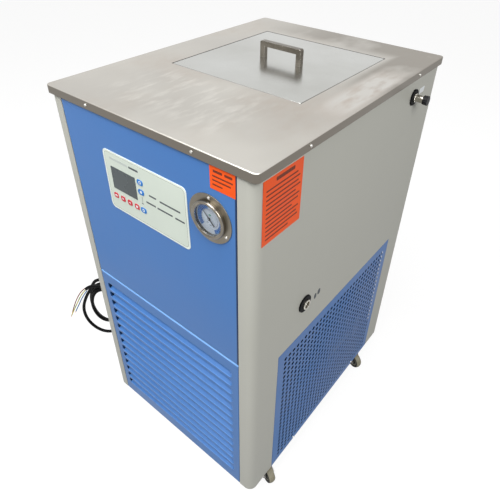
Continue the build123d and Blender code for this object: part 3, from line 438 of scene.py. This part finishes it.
# Cable tie. A flat black nylon strap, pulled tight, holds the tops of the turns
# together.
tie_half_across = 0.0155
tie_half_height = 0.0135
tie_width = 0.0046
tie_strap = 0.0012
tie_place = in_coil(0.055, 0.3855, 0.0005)
bpy.ops.object.select_all(action="DESELECT")
bpy.ops.mesh.primitive_circle_add(vertices=40, radius=1, fill_type="NOTHING")
cable_tie = bpy.context.object
bpy.ops.object.mode_set(mode="EDIT")
bpy.ops.mesh.select_all(action="SELECT")
bpy.ops.mesh.extrude_region_move(TRANSFORM_OT_translate={"value": (0, 0, tie_width)})
bpy.ops.object.mode_set(mode="OBJECT")
cable_tie.scale = (tie_half_across, tie_half_height, 1)
pick_only(cable_tie)
bpy.ops.object.transform_apply(location=False, rotation=False, scale=True)
cable_tie.matrix_world = set_along(tie_place, coil_forward, Vector((0, 0, 1)), -coil_out)
strap = cable_tie.modifiers.new("strap", "SOLIDIFY")
strap.thickness = tie_strap
strap.offset = 1
bpy.ops.object.modifier_apply(modifier="strap")
tie_nylon = finish("tie_nylon", tint(26, 26, 27), tint(40, 40, 42), (0.35, 0.5), clouds=(80.0, even))
settle(cable_tie, "cable_tie", tie_nylon)

# Cabinet panels. Two sheets of 1.5 mm steel, each folded round a front and a back
# corner, and a flat rear panel, all powder coated a warm light grey. The base pan is
# galvanised.
grey_paint = finish("grey_powder_coat", tint(178, 178, 169), tint(186, 186, 178), (0.42, 0.56),
                    clouds=(2.2, (1, 1, 0.6)), grain=(520.0, even), bump=0.08, worn=tint(196, 196, 188))


def object_axes(tree):
    """The X, Y and Z of a place on the piece, as sockets."""
    place = tree.nodes.new("ShaderNodeTexCoord")
    axes = tree.nodes.new("ShaderNodeSeparateXYZ")
    tree.links.new(place.outputs["Object"], axes.inputs[0])
    return axes.outputs


def ramp(tree, value, low, high, shape="SMOOTHSTEP"):
    """A mask that goes from 0 to 1 as the value goes from low to high."""
    made = tree.nodes.new("ShaderNodeMapRange")
    made.interpolation_type = shape
    made.inputs["From Min"].default_value = low
    made.inputs["From Max"].default_value = high
    tree.links.new(value, made.inputs["Value"])
    return made.outputs["Result"]


def together(tree, first, second, operation="MULTIPLY"):
    """Two masks or numbers joined by one sum."""
    made = tree.nodes.new("ShaderNodeMath")
    made.operation = operation
    made.use_clamp = True
    for socket, part in zip(made.inputs, (first, second)):
        if isinstance(part, float):
            socket.default_value = part
        else:
            tree.links.new(part, socket)
    return made.outputs[0]


def stripe(tree, value, start, full, fade, end):
    """A mask that rises from start to full, and falls again from fade to end."""
    return together(tree, ramp(tree, value, start, full), ramp(tree, value, end, fade))


def paint_over(material, *layers):
    """Lays colours over a finish, each where its own mask is on."""
    tree = material.node_tree
    base = tree.nodes["Principled BSDF"].inputs["Base Color"]
    colour = base.links[0].from_socket
    for mask, over in layers:
        colour = blend_colours(tree, mask, colour, over)
    tree.links.new(colour, base)


# The sheets' inner faces are painted dark, a painted shade for the enclosed inside seen
# through the grilles. The rounded corners of the cabinet lie outside both of the boxes that
# pick them out.
inner_x = 0.2458
inner_y = 0.3238
corner_reach = 0.0218
wall_rim = 0.0003
grey_tree = grey_paint.node_tree
grey_axes = object_axes(grey_tree)


def between_walls(reach_x, reach_y):
    """A mask of what lies less than these reaches from the middle."""
    across_x, across_y = (
        stripe(grey_tree, grey_axes[axis], -reach, wall_rim - reach, reach - wall_rim, reach)
        for axis, reach in (("X", reach_x), ("Y", reach_y))
    )
    return together(grey_tree, across_x, across_y)


painted_inner_shade = together(grey_tree, between_walls(inner_x, inner_y - corner_reach),
                      between_walls(inner_x - corner_reach, inner_y), "MAXIMUM")
# Painted shade on the inner faces.
paint_over(grey_paint, (painted_inner_shade, tint(52, 52, 50)))
dress(grey_paint, "left_side_panel", "right_side_panel", "rear_panel")
galvanised = finish("galvanised_sheet", tint(62, 64, 65), tint(84, 86, 88), (0.5, 0.7), metallic=0.6,
                    clouds=(38.0, even), bump=0.06)
dress(galvanised, "base_pan")

# Front panels. Two shallow pans of blue powder-coated steel, the lower one with
# fourteen louvres pressed inwards.
blue_paint = finish("blue_powder_coat", tint(64, 113, 176), tint(70, 119, 182), (0.36, 0.5),
                    clouds=(3.0, even), grain=(520.0, even), bump=0.1, worn=tint(112, 154, 214),
                    edge=0.0012)

# Painted shade darkens the joint between the two panels and the slot along the upper
# panel's right edge. The lower panel's bent top edge has a pale painted highlight.
blue_tree = blue_paint.node_tree
blue_axes = object_axes(blue_tree)
upper_low, upper_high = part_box("front_upper_panel")
joint_z = upper_low.z
slot_x = upper_high.x
painted_edge_highlight = stripe(blue_tree, blue_axes["Z"], joint_z - 0.0052, joint_z - 0.0047, joint_z - 0.0020,
                   joint_z - 0.0015)
painted_joint_shade = stripe(blue_tree, blue_axes["Z"], joint_z - 0.0020, joint_z - 0.0015, joint_z + 0.0016,
                    joint_z + 0.0026)
painted_slot_shade = together(
    blue_tree,
    stripe(blue_tree, blue_axes["X"], slot_x - 0.0034, slot_x - 0.0028, slot_x + 0.0006,
           slot_x + 0.0010),
    ramp(blue_tree, blue_axes["Z"], joint_z - 0.0010, joint_z),
)
# Painted highlight on the bent edge, and painted shade in the joint and the slot.
paint_over(blue_paint, (painted_edge_highlight, tint(120, 170, 228)),
           (together(blue_tree, painted_joint_shade, painted_slot_shade, "MAXIMUM"), tint(26, 52, 88)))
dress(blue_paint, "front_upper_panel", "front_lower_panel")

# Side grille. One blue sheet with a square grid of round punched holes, flush in its
# notch in the right side, with a joggled lip that reaches behind the panel.
hole_pitch = 0.015
hole_radius = 0.0047
hole_columns = 30
hole_rows = 26
hole_sides = 16
grille_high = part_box("side_grille")[1]
grille_width = 0.488
grille_height = 0.430
grille_bottom = 0.068
grid_middle_z = 0.2796
grille_sheet = 0.0004
bpy.ops.object.select_all(action="DESELECT")
bpy.ops.mesh.primitive_circle_add(vertices=hole_sides, radius=hole_radius, fill_type="NOTHING")
grille = bpy.context.object
bpy.ops.object.mode_set(mode="EDIT")
bpy.ops.mesh.select_all(action="SELECT")
bpy.ops.mesh.extrude_region_move()
bpy.ops.object.mode_set(mode="OBJECT")
for corner in grille.data.vertices:
    if corner.select:
        reach = max(abs(corner.co.x), abs(corner.co.y))
        corner.co *= hole_pitch / 2 / reach
for way, count in ((0, hole_columns), (1, hole_rows)):
    row = grille.modifiers.new("row", "ARRAY")
    row.count = count
    row.use_relative_offset = False
    row.use_constant_offset = True
    row.constant_offset_displace = [hole_pitch if axis == way else 0 for axis in range(3)]
    row.use_merge_vertices = True
    row.merge_threshold = 0.0001
    bpy.ops.object.modifier_apply(modifier="row")
grid_half = ((hole_columns - 1) * hole_pitch / 2, (hole_rows - 1) * hole_pitch / 2)
for corner in grille.data.vertices:
    corner.co.x -= grid_half[0]
    corner.co.y -= grid_half[1]


def grow_border(half_width, low, high, drop):
    """Extrudes the sheet's rim to this half width and these heights, drop behind it."""
    near = 1e-5
    rim_x = max(abs(corner.co.x) for corner in grille.data.vertices)
    rim_low = min(corner.co.y for corner in grille.data.vertices)
    rim_high = max(corner.co.y for corner in grille.data.vertices)

    def on_rim(place):
        return min(abs(abs(place.x) - rim_x), abs(place.y - rim_low), abs(place.y - rim_high)) < near

    pick_only(grille)
    bpy.ops.object.mode_set(mode="EDIT")
    bpy.ops.mesh.select_all(action="DESELECT")
    bpy.ops.mesh.select_mode(type="EDGE")
    bpy.ops.mesh.select_non_manifold(extend=False, use_wire=False, use_boundary=True,
                                     use_multi_face=False, use_non_contiguous=False, use_verts=False)
    bpy.ops.object.mode_set(mode="OBJECT")
    points = grille.data.vertices
    for edge in grille.data.edges:
        edge.select = edge.select and all(on_rim(points[v].co) for v in edge.vertices)
    for corner in points:
        corner.select = False
    for edge in grille.data.edges:
        if edge.select:
            for v in edge.vertices:
                points[v].select = True
    for face in grille.data.polygons:
        face.select = False
    bpy.ops.object.mode_set(mode="EDIT")
    bpy.ops.mesh.extrude_edges_move()
    bpy.ops.object.mode_set(mode="OBJECT")
    for corner in grille.data.vertices:
        if corner.select:
            corner.co.x *= half_width / rim_x
            corner.co.y = low + (corner.co.y - rim_low) / (rim_high - rim_low) * (high - low)
            corner.co.z -= drop


def face_outwards(piece):
    """Turns all faces of a piece outwards."""
    pick_only(piece)
    bpy.ops.object.mode_set(mode="EDIT")
    bpy.ops.mesh.select_all(action="SELECT")
    bpy.ops.mesh.normals_make_consistent(inside=False)
    bpy.ops.object.mode_set(mode="OBJECT")


sheet_low = grille_bottom - grid_middle_z
sheet_high = grille_bottom + grille_height - grid_middle_z
lip_reach = 0.010
joggle = 0.0015
joggle_run = 0.0001
grow_border(grille_width / 2, sheet_low, sheet_high, 0)
grow_border(grille_width / 2 + joggle_run, sheet_low + joggle_run, sheet_high + joggle_run, joggle)
grow_border(grille_width / 2 + lip_reach, sheet_low + 2 * joggle_run, sheet_high + lip_reach, 0)
wall = grille.modifiers.new("wall", "SOLIDIFY")
wall.thickness = grille_sheet
wall.offset = -1
pick_only(grille)
bpy.ops.object.modifier_apply(modifier="wall")
face_outwards(grille)
grille.rotation_euler = (pi / 2, 0, pi / 2)
grille.location = (grille_high.x, 0, grid_middle_z)
grille_paint = finish("grille_powder_coat", tint(58, 106, 170), tint(66, 115, 178), (0.4, 0.54),
                      clouds=(3.0, even), grain=(520.0, even), bump=0.06, edge=0.0001)
settle(grille, "perforated_grille", grille_paint)
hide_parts("side_grille")

# Top plate. A pan of brushed stainless steel turned down over the cabinet. Its flat
# has soft cloudy marks from hand polishing, and its flange is painted darker as a painted
# dim reflection.
steel = finish("stainless_top", tint(184, 180, 173), tint(197, 194, 187), (0.30, 0.42), metallic=1.0,
               clouds=(3.4, (1.0, 0.8, 1.0)), grain=(18.0, (60, 2.5, 60)), bump=0.05)
top_tree = steel.node_tree
top_axes = object_axes(top_tree)


def rising(axis, start, full):
    """A mask that rises along an axis of the plate, from 0 at start to 1 at full."""
    return ramp(top_tree, top_axes[axis], start, full)


def across(axis, start, full, fade, end):
    """A mask of one stretch of the plate along an axis, with soft ends."""
    return stripe(top_tree, top_axes[axis], start, full, fade, end)


def streaks(scale, stretch, low, high, detail=3.0):
    """A broken mask of clouds or strokes."""
    marks = placed_group(top_tree, patches, Scale=scale, Stretch=stretch, Detail=detail, Low=low,
                         High=high)
    return marks.outputs["Mask"]


def where_all(first, *others):
    """Where all of these masks of the plate are on. A number weakens them."""
    shared = first
    for mask in others:
        shared = together(top_tree, shared, mask)
    return shared


# The plate has warm blotches all over and pale strokes in front of the lid. It is painted
# darker along its back and its right as a painted dim reflection, where one pale patch with
# warm edges stands out.
warm = where_all(streaks(6.0, (1.0, 0.8, 1.0), 0.50, 0.72), streaks(60.0, (1, 0.5, 1), 0.1, 0.6), 0.5)
strokes = where_all(streaks(46.0, (1.7, 0.5, 1.0), 0.46, 0.74, 6.0),
                    across("X", -0.20, -0.10, 0.09, 0.17), across("Y", -0.31, -0.25, -0.15, -0.10), 0.7)
# Painted dim reflection along the back and the right of the plate.
back_dim_reflection = where_all(rising("Y", 0.215, 0.27), rising("X", -0.26, 0.02))
right_dim_reflection = where_all(rising("X", 0.160, 0.180), rising("Y", -0.03, 0.14))
painted_dim_reflection = where_all(together(top_tree, back_dim_reflection, right_dim_reflection, "MAXIMUM"),
                 streaks(11.0, (1.2, 0.7, 1.0), 0.22, 0.5), 0.9)
pale_side = where_all(across("X", 0.178, 0.200, 0.236, 0.247), across("Y", -0.13, -0.04, 0.09, 0.19))
pale_core = where_all(pale_side, streaks(26.0, (1.6, 0.5, 1.0), 0.30, 0.52, 4.0))

# The narrow gap round the lid is painted dark as painted shade, and the flange below the
# fold is painted darker as a painted dim reflection.
lid_low, lid_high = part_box("lid")
gap_reach = 0.0016
gap_rim = 0.0004
fold_low = 0.9612
fold_high = 0.9622
# Painted shade in the narrow gap round the lid.
painted_gap_shade = where_all(*(
    across(axis, low - gap_reach - gap_rim, low - gap_reach, high + gap_reach,
           high + gap_reach + gap_rim)
    for axis, low, high in (("X", lid_low.x, lid_high.x), ("Y", lid_low.y, lid_high.y))
))
# Painted dim reflection on the flange below the fold.
flange = ramp(top_tree, top_axes["Z"], fold_high, fold_low, "LINEAR")
# The dim back, right and flange layers are painted reflections, and the gap layer is painted shade.
paint_over(
    steel,
    (warm, tint(180, 168, 156)),
    (strokes, tint(215, 212, 205)),
    (painted_dim_reflection, tint(146, 140, 131)),
    (where_all(pale_side, 0.45), tint(190, 172, 158)),
    (pale_core, tint(205, 202, 196)),
    (painted_gap_shade, tint(44, 41, 37)),
    (flange, tint(118, 112, 103)),
)
dress(steel, "top_plate")

# Lid and handle. The lid is a folded pan of the same steel over a foam plug, brushed
# finer and brighter, and its bow handle is welded on.
lid_steel = finish("stainless_lid", tint(184, 184, 179), tint(202, 203, 200), (0.17, 0.24),
                   metallic=1.0, clouds=(4.0, even), grain=(22.0, (70, 2.0, 70)), bump=0.04)
dress(lid_steel, "lid")
handle_steel = finish("stainless_bar", tint(108, 102, 93), tint(136, 130, 121), (0.22, 0.36),
                      metallic=1.0, clouds=(30.0, (0.3, 1, 1)), grain=(30.0, (3, 60, 60)), bump=0.05,
                      worn=tint(214, 210, 202))
dress(handle_steel, "lid_handle")
screw_steel = finish("screw_steel", tint(186, 184, 178), tint(214, 212, 206), (0.22, 0.4), metallic=1.0,
                     clouds=(200.0, even))
dress(screw_steel, "flange_screws", "grille_screws", "gauge_screws")

# Bath. A welded stainless tank in foam holds the coolant, with a copper evaporator
# coil on its floor.
tank_steel = finish("tank_steel", tint(168, 168, 165), tint(190, 190, 188), (0.25, 0.4), metallic=1.0)
dress(tank_steel, "tank")
foam = finish("tank_foam", tint(206, 190, 150), tint(224, 210, 172), (0.85, 0.95), clouds=(30.0, even),
              grain=(240.0, even), bump=0.6, depth=0.001)
dress(foam, "tank_insulation")
dress(copper, "evaporator_coil")

# Machinery behind the grilles: condenser and fan, compressor on rubber grommets,
# circulation pump and pipes.
fins = finish("aluminium_fins", tint(66, 68, 70), tint(92, 94, 96), (0.45, 0.6), metallic=0.7,
              clouds=(90.0, (8, 1, 0.05)), grain=(100.0, (9, 1, 0.05)), bump=0.4, depth=0.0006)
black_paint = finish("black_paint", tint(24, 24, 26), tint(34, 34, 36), (0.35, 0.5),
                     worn=tint(70, 70, 72))
black_rubber = finish("black_rubber", tint(15, 15, 16), tint(22, 22, 23), (0.6, 0.75), bump=0.2,
                      specular=0.08)
black_plastic = finish("black_plastic", tint(18, 18, 19), tint(28, 28, 30), (0.35, 0.5), bump=0.12,
                       worn=tint(46, 46, 48), specular=0.12)
pump_paint = finish("pump_paint", tint(52, 74, 96), tint(64, 88, 112), (0.4, 0.55),
                    worn=tint(110, 126, 142))
dress(fins, "condenser")
dress(galvanised, "fan_shroud")
dress(black_paint, "fan_motor", "compressor")
dress(black_plastic, "fan_blade", "control_housing")
dress(black_rubber, "compressor_grommets", "suction_pipe", "drain_pipe", "outlet_pipe")
dress(pump_paint, "circulation_pump")

# Keypad. A printed polyester film over the control housing: a pale field inside a
# lighter border, with a thin line between them, and dark and faint bars in the field.
front_turn = (pi / 2, 0, 0)
side_turn = (pi / 2, 0, pi / 2)
front_y = -0.325
film = 0.0008
print_height = 0.00012
print_sunk = 0.00005


def plate(width, height, corner, thickness, place, turn, sides=None):
    """A thin flat plate, with rounded corners or as a polygon of this many sides."""
    bpy.ops.object.select_all(action="DESELECT")
    if sides is None:
        bpy.ops.mesh.primitive_plane_add(size=1)
    else:
        bpy.ops.mesh.primitive_circle_add(vertices=sides, radius=0.5, fill_type="NGON")
    made = bpy.context.object
    made.scale = (width, height, 1)
    bpy.ops.object.transform_apply(location=False, rotation=False, scale=True)
    if corner:
        bpy.ops.object.mode_set(mode="EDIT")
        bpy.ops.mesh.select_all(action="SELECT")
        bpy.ops.mesh.bevel(offset=corner, segments=5, affect="VERTICES")
        bpy.ops.object.mode_set(mode="OBJECT")
    body = made.modifiers.new("body", "SOLIDIFY")
    body.thickness = thickness
    body.offset = 1
    bpy.ops.object.modifier_apply(modifier="body")
    made.rotation_euler = turn
    made.location = place
    return made


def joined(name, material, slot, parts, body="cabinet"):
    """Several small parts become one piece."""
    for part in parts:
        pick_only(part)
        bpy.ops.object.transform_apply(location=True, rotation=True, scale=True)
    pick_only(*parts)
    if len(parts) > 1:
        bpy.ops.object.join()
    return settle(bpy.context.object, name, material, body)


def on_front(x, z, out=0.0):
    """A place on the front face, or out from it."""
    return (x, front_y - out, z)


def bars(lines, out, turn, place):
    """A bar for each (middle along, height, length, thickness of the line)."""
    return [
        plate(length, thick, thick * 0.3, print_height + print_sunk, place(along, z, out - print_sunk),
              turn)
        for along, z, length, thick in lines
    ]


keypad_film = finish("keypad_film", tint(222, 230, 222), tint(228, 235, 227), (0.4, 0.5),
                     clouds=(12.0, even), bump=0.05, edge=0.0003)
keypad_field = finish("keypad_field", tint(203, 212, 201), tint(208, 217, 206), (0.42, 0.5),
                      clouds=(8.0, even), bump=0.05, edge=0.0001)
line_ink = finish("line_ink", tint(122, 126, 108), tint(130, 134, 116), (0.5, 0.6), edge=0.0001)
dark_ink = finish("dark_ink", tint(64, 70, 74), tint(80, 86, 90), (0.5, 0.6), clouds=(300.0, even),
                  edge=0.0001)
faint_ink = finish("faint_ink", tint(184, 192, 186), tint(192, 200, 194), (0.5, 0.6), edge=0.0001)
pale_ink = finish("pale_ink", tint(226, 230, 232), tint(236, 240, 242), (0.5, 0.6), edge=0.0001)
dress(keypad_film, "control_overlay")
keypad_z = 0.817
line_width = 0.2050
line_height = 0.1195
line_corner = 0.0075
field_width = 0.2038
field_height = 0.1183
field_corner = 0.0070
joined("keypad_line", line_ink, "keypad_film", [
    plate(line_width, line_height, line_corner, print_height, on_front(0, keypad_z, film - print_sunk),
          front_turn),
])
joined("keypad_field", keypad_field, "keypad_film", [
    plate(field_width, field_height, field_corner, print_height, on_front(0, keypad_z, film),
          front_turn),
])
field_out = film + print_height
joined("keypad_print", dark_ink, "keypad_film", bars(
    ((-0.0235, 0.8655, 0.0250, 0.0038), (0.0205, 0.8270, 0.0185, 0.0034),
     (0.0635, 0.8258, 0.0505, 0.0034), (0.0140, 0.8095, 0.0250, 0.0034),
     (0.0495, 0.8090, 0.0380, 0.0034), (0.0860, 0.8085, 0.0230, 0.0034),
     (-0.0093, 0.8005, 0.0050, 0.0018)),
    field_out, front_turn, on_front))
joined("keypad_faint_print", faint_ink, "keypad_film", bars(
    ((-0.0640, 0.8660, 0.0500, 0.0050), (-0.0093, 0.8090, 0.0010, 0.0120)),
    field_out, front_turn, on_front))


# Display and keys. The display is a smoked window in the film. The keys are raised
# red and blue fields of the film with pale symbols.
def symbol(width, height, x, z, corner=0, lean=0.0, sides=None, lift=0.0):
    """A flat sign printed on a key, turned by lean."""
    return plate(width, height, corner, print_height, on_front(x, z, key_out + lift),
                 (pi / 2, lean, 0), sides)


display_film = finish("display_film", tint(62, 70, 72), tint(70, 78, 80), (0.22, 0.32),
                      clouds=(16.0, even), bump=0.03, edge=0.0002)
red_film = finish("red_key_film", tint(186, 30, 48), tint(200, 40, 56), (0.35, 0.45), bump=0.05,
                  edge=0.0004)
blue_film = finish("blue_key_film", tint(0, 104, 184), tint(10, 116, 196), (0.35, 0.45), bump=0.05,
                   edge=0.0004)
dress(display_film, "display_window")
dress(red_film, "red_keys")
dress(blue_film, "blue_keys")
key_out = 2 * film
red_row_z = 0.786
blue_column_x = -0.0093
blue_top_z = 0.845
blue_middle_z = 0.825
joined("key_symbols", pale_ink, "keypad_film", [
    symbol(0.0068, 0.0030, -0.0867, red_row_z, corner=0.0010),
    symbol(0.0058, 0.0052, -0.0669, red_row_z, lean=-pi / 6, sides=3),
    symbol(0.0058, 0.0052, -0.0471, red_row_z, lean=pi / 6, sides=3),
    symbol(0.0048, 0.0048, -0.0273, red_row_z, corner=0.0008),
    symbol(0.0066, 0.0066, blue_column_x, blue_top_z, sides=20),
    symbol(0.0060, 0.0060, blue_column_x, blue_middle_z, sides=8),
    symbol(0.0064, 0.0064, blue_column_x, red_row_z, sides=20),
])
joined("key_symbol_middles", blue_film, "keypad_film", [
    symbol(0.0038, 0.0038, blue_column_x, blue_top_z, sides=16, lift=print_height / 2),
    symbol(0.0034, 0.0034, blue_column_x, red_row_z, sides=16, lift=print_height / 2),
])

# Stickers. Plain orange vinyl, one beside the gauge and one on the right side, with
# rows of plain dark bars.
side_x = 0.247
vinyl_thickness = 0.0004
vinyl = finish("orange_vinyl", tint(232, 80, 14), tint(240, 88, 20), (0.4, 0.5), clouds=(10.0, even),
               bump=0.06, edge=0.0002)
sticker_ink = finish("sticker_ink", tint(88, 36, 20), tint(120, 50, 26), (0.5, 0.6),
                     clouds=(400.0, even), edge=0.0001)
dress(vinyl, "front_sticker", "side_sticker")


def on_side(y, z, out=0.0):
    """A place on the right side, or out from it."""
    return (side_x + out, y, z)


joined("front_sticker_bars", sticker_ink, "orange_vinyl", bars(
    ((0.1760, 0.9370, 0.0180, 0.0042), (0.1965, 0.9370, 0.0150, 0.0042),
     (0.1850, 0.9285, 0.0400, 0.0024), (0.1830, 0.9215, 0.0360, 0.0024),
     (0.1750, 0.9140, 0.0200, 0.0024)),
    vinyl_thickness, front_turn, on_front))
side_rows = (0.078, 0.084, 0.080, 0.086, 0.074, 0.085, 0.082, 0.066, 0.084, 0.079, 0.083, 0.058)
sticker_low, sticker_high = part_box("side_sticker")
row_start = sticker_low.y + 0.0075
first_row_z = sticker_high.z - 0.0195
row_pitch = 0.0079
row_thickness = 0.0026
side_lines = [((sticker_low.y + sticker_high.y) / 2 + 0.004, sticker_high.z - 0.0085, 0.046, 0.0062)]
side_lines += [
    (row_start + length / 2, first_row_z - row_pitch * number, length, row_thickness)
    for number, length in enumerate(side_rows)
]
joined("side_sticker_bars", sticker_ink, "orange_vinyl",
       bars(side_lines, vinyl_thickness, side_turn, on_side))

# Gauge. A flanged pressure gauge: brushed steel flange and case, polished bezel, and
# a dial printed with a blue band, fine marks and a black pointer behind glass.
gauge_x = 0.157
gauge_z = 0.847
dial_out = 0.0009
gauge_steel = finish("gauge_steel", tint(112, 106, 95), tint(132, 126, 114), (0.3, 0.42), metallic=1.0,
                     clouds=(20.0, even), grain=(40.0, (1, 1, 40)), bump=0.05, worn=tint(176, 170, 158))
bezel_steel = finish("bezel_steel", tint(112, 107, 98), tint(136, 130, 120), (0.16, 0.26), metallic=1.0,
                     clouds=(30.0, even), bump=0.02)
dial_paint = finish("dial_paint", tint(146, 156, 168), tint(158, 168, 178), (0.45, 0.55),
                    clouds=(60.0, even))
dial_blue = finish("dial_blue", tint(0, 62, 122), tint(2, 78, 140), (0.45, 0.55), clouds=(160.0, even))
dial_green = finish("dial_green", tint(8, 104, 74), tint(14, 116, 84), (0.45, 0.55))
pointer_paint = finish("pointer_paint", tint(18, 20, 24), tint(26, 28, 32), (0.35, 0.45))
dress(gauge_steel, "gauge_case")
dress(bezel_steel, "gauge_bezel")
dress(dial_paint, "gauge_dial")
dress(pointer_paint, "gauge_pointer")


def band(inner, outer, start, end, steps):
    """Part of a flat ring on the dial, between two angles from the right, in degrees."""
    bpy.ops.object.select_all(action="DESELECT")
    bpy.ops.mesh.primitive_plane_add(size=1)
    made = bpy.context.object
    bpy.ops.object.mode_set(mode="EDIT")
    bpy.ops.mesh.select_all(action="SELECT")
    bpy.ops.mesh.subdivide(number_cuts=steps - 1)
    bpy.ops.object.mode_set(mode="OBJECT")
    for corner in made.data.vertices:
        angle = radians(start + (end - start) * (corner.co.x + 0.5))
        radius = outer + (inner - outer) * (corner.co.y + 0.5)
        corner.co = (radius * cos(angle), radius * sin(angle), 0)
    face_outwards(made)
    body = made.modifiers.new("body", "SOLIDIFY")
    body.thickness = print_height
    body.offset = 0
    bpy.ops.object.modifier_apply(modifier="body")
    made.rotation_euler = front_turn
    made.location = on_front(gauge_x, gauge_z, dial_out)
    return made


joined("dial_blue_band", dial_blue, "dial_paint", [
    band(0.0178, 0.0268, 100, 226, 12),
    band(0.0236, 0.0268, 28, 100, 10),
    band(0.0200, 0.0268, -66, 28, 10),
])
mark_circle = 0.0166
mark_width = 0.0004
mark_length = 0.0022
long_mark_length = 0.0038
first_mark = 225
mark_step = 5.4
dial_marks = []
for number in range(51):
    angle = radians(first_mark - mark_step * number)
    place = on_front(gauge_x + mark_circle * cos(angle), gauge_z + mark_circle * sin(angle), dial_out)
    length = mark_length if number % 5 else long_mark_length
    dial_marks.append(plate(mark_width, length, 0, print_height, place, (pi / 2, pi / 2 - angle, 0)))


def dial_bar(width, height, along, up, corner=0):
    """A short bar on the dial, at a place from its middle."""
    return plate(width, height, corner, print_height, on_front(gauge_x + along, gauge_z + up, dial_out),
                 front_turn)


dial_marks += [dial_bar(0.0034, 0.0018, -0.0052, -0.0088), dial_bar(0.0040, 0.0018, 0.0014, -0.0118)]
joined("dial_marks", dark_ink, "dial_paint", dial_marks)
joined("dial_green_mark", dial_green, "dial_paint",
       [dial_bar(0.0042, 0.0030, 0.0004, 0.0072, corner=0.0008)])
glass = bpy.data.materials.new("gauge_glass")
glass.use_nodes = True
glass_shader = glass.node_tree.nodes["Principled BSDF"]
glass_shader.inputs["Base Color"].default_value = (1, 1, 1, 1)
glass_shader.inputs["Roughness"].default_value = 0.03
glass_shader.inputs["IOR"].default_value = 1.2
glass_shader.inputs["Transmission Weight"].default_value = 1.0
dress(glass, "gauge_glass")

# Ports. Each is a steel barrel or plug in a black washer on the right side. A short
# ribbed cap closes the outlet, and a hexagonal socket turns the drain plug. Both have
# a small plain label.
polished_steel = finish("polished_steel", tint(166, 162, 152), tint(192, 188, 178), (0.12, 0.24),
                        metallic=1.0, clouds=(60.0, even), bump=0.03, worn=tint(226, 222, 214))
dress(black_rubber, "outlet_washer", "drain_washer")
dress(polished_steel, "outlet_barrel", "drain_plug")
dress(black_plastic, "outlet_cap")
joined("port_label_bars", dark_ink, "grey_paint", bars(
    ((-0.1240, 0.5770, 0.0085, 0.0150), (-0.1105, 0.5800, 0.0100, 0.0150)), 0.0, side_turn, on_side))
joined("port_label", pale_ink, "grey_paint", [
    plate(0.0240, 0.0120, 0.0010, print_height, on_side(0.2400, 0.9110), side_turn)])

# Casters. Zinc-plated plates and forks, with grey-beige rubber treads on dark wheels.
# A nut closes each end of every axle.
caster_steel = finish("caster_steel", tint(118, 116, 112), tint(156, 154, 150), (0.25, 0.42),
                      metallic=1.0, clouds=(40.0, even), bump=0.08, worn=tint(190, 188, 184))
dress(caster_steel, "caster_plates")
trail_angle = radians(-20)
trail_way = Vector((cos(trail_angle), sin(trail_angle), 0))
axle_way = Vector((-sin(trail_angle), cos(trail_angle), 0))
caster_trail = 0.021
wheel_radius = 0.025
fork_reach = 0.0123
caster_spots = {
    "front_left": (-0.218, -0.238),
    "front_right": (0.218, -0.238),
    "rear_left": (-0.218, 0.212),
    "rear_right": (0.218, 0.212),
}
tyre = finish("wheel_tread", tint(140, 135, 116), tint(158, 153, 134), (0.6, 0.75), clouds=(60.0, even),
              bump=0.2, worn=tint(110, 104, 90))
wheel_black = tint(24, 24, 25)
wheel_pale = tint(150, 146, 130)
tread_fade = 0.0222
tread_start = 0.0226

# Masks of a wheel: Side is on within its tread, and Ring on the pale ring of its hub.
wheel_rings, wheel_in, wheel_out = shader_group(
    "wheel_rings",
    (("Hub", "NodeSocketVector", (0, 0, 0)), ("Axle", "NodeSocketVector", (0, 1, 0))),
    (("Side", "NodeSocketFloat"), ("Ring", "NodeSocketFloat")),
)
wheel_place = wheel_rings.nodes.new("ShaderNodeTexCoord")
from_hub = wheel_rings.nodes.new("ShaderNodeVectorMath")
from_hub.operation = "SUBTRACT"
wheel_rings.links.new(wheel_place.outputs["Object"], from_hub.inputs[0])
wheel_rings.links.new(wheel_in.outputs["Hub"], from_hub.inputs[1])
off_axle = wheel_rings.nodes.new("ShaderNodeVectorMath")
off_axle.operation = "CROSS_PRODUCT"
wheel_rings.links.new(from_hub.outputs[0], off_axle.inputs[0])
wheel_rings.links.new(wheel_in.outputs["Axle"], off_axle.inputs[1])
from_axle = wheel_rings.nodes.new("ShaderNodeVectorMath")
from_axle.operation = "LENGTH"
wheel_rings.links.new(off_axle.outputs[0], from_axle.inputs[0])
wheel_reach = from_axle.outputs["Value"]
wheel_side = ramp(wheel_rings, wheel_reach, tread_start, tread_fade)
wheel_ring = stripe(wheel_rings, wheel_reach, 0.0118, 0.0124, 0.0166, 0.0172)
wheel_rings.links.new(wheel_side, wheel_out.inputs["Side"])
wheel_rings.links.new(wheel_ring, wheel_out.inputs["Ring"])
nut_width = 0.0125
nut_height = 0.0030
nut_out = fork_reach + 0.001
for spot, (x, y) in caster_spots.items():
    hub = Vector((x, y, wheel_radius)) + trail_way * caster_trail
    dress(caster_steel, f"caster_fork_{spot}")
    rubber = tyre.copy()
    rubber.name = f"wheel_tread_{spot}"
    rings = placed_group(rubber.node_tree, wheel_rings, Hub=tuple(hub), Axle=tuple(axle_way))
    paint_over(rubber, (rings.outputs["Side"], wheel_black), (rings.outputs["Ring"], wheel_pale))
    dress(rubber, f"caster_wheel_{spot}")
    nuts = []
    for side in (-1, 1):
        turn = (axle_way * side).to_track_quat("Z", "Y").to_euler()
        nut_place = hub + axle_way * side * nut_out
        nuts.append(plate(nut_width, nut_width, 0, nut_height, nut_place, turn, sides=6))
    joined(f"axle_nuts_{spot}", caster_steel, "caster_steel", nuts, f"swivel_{spot}")
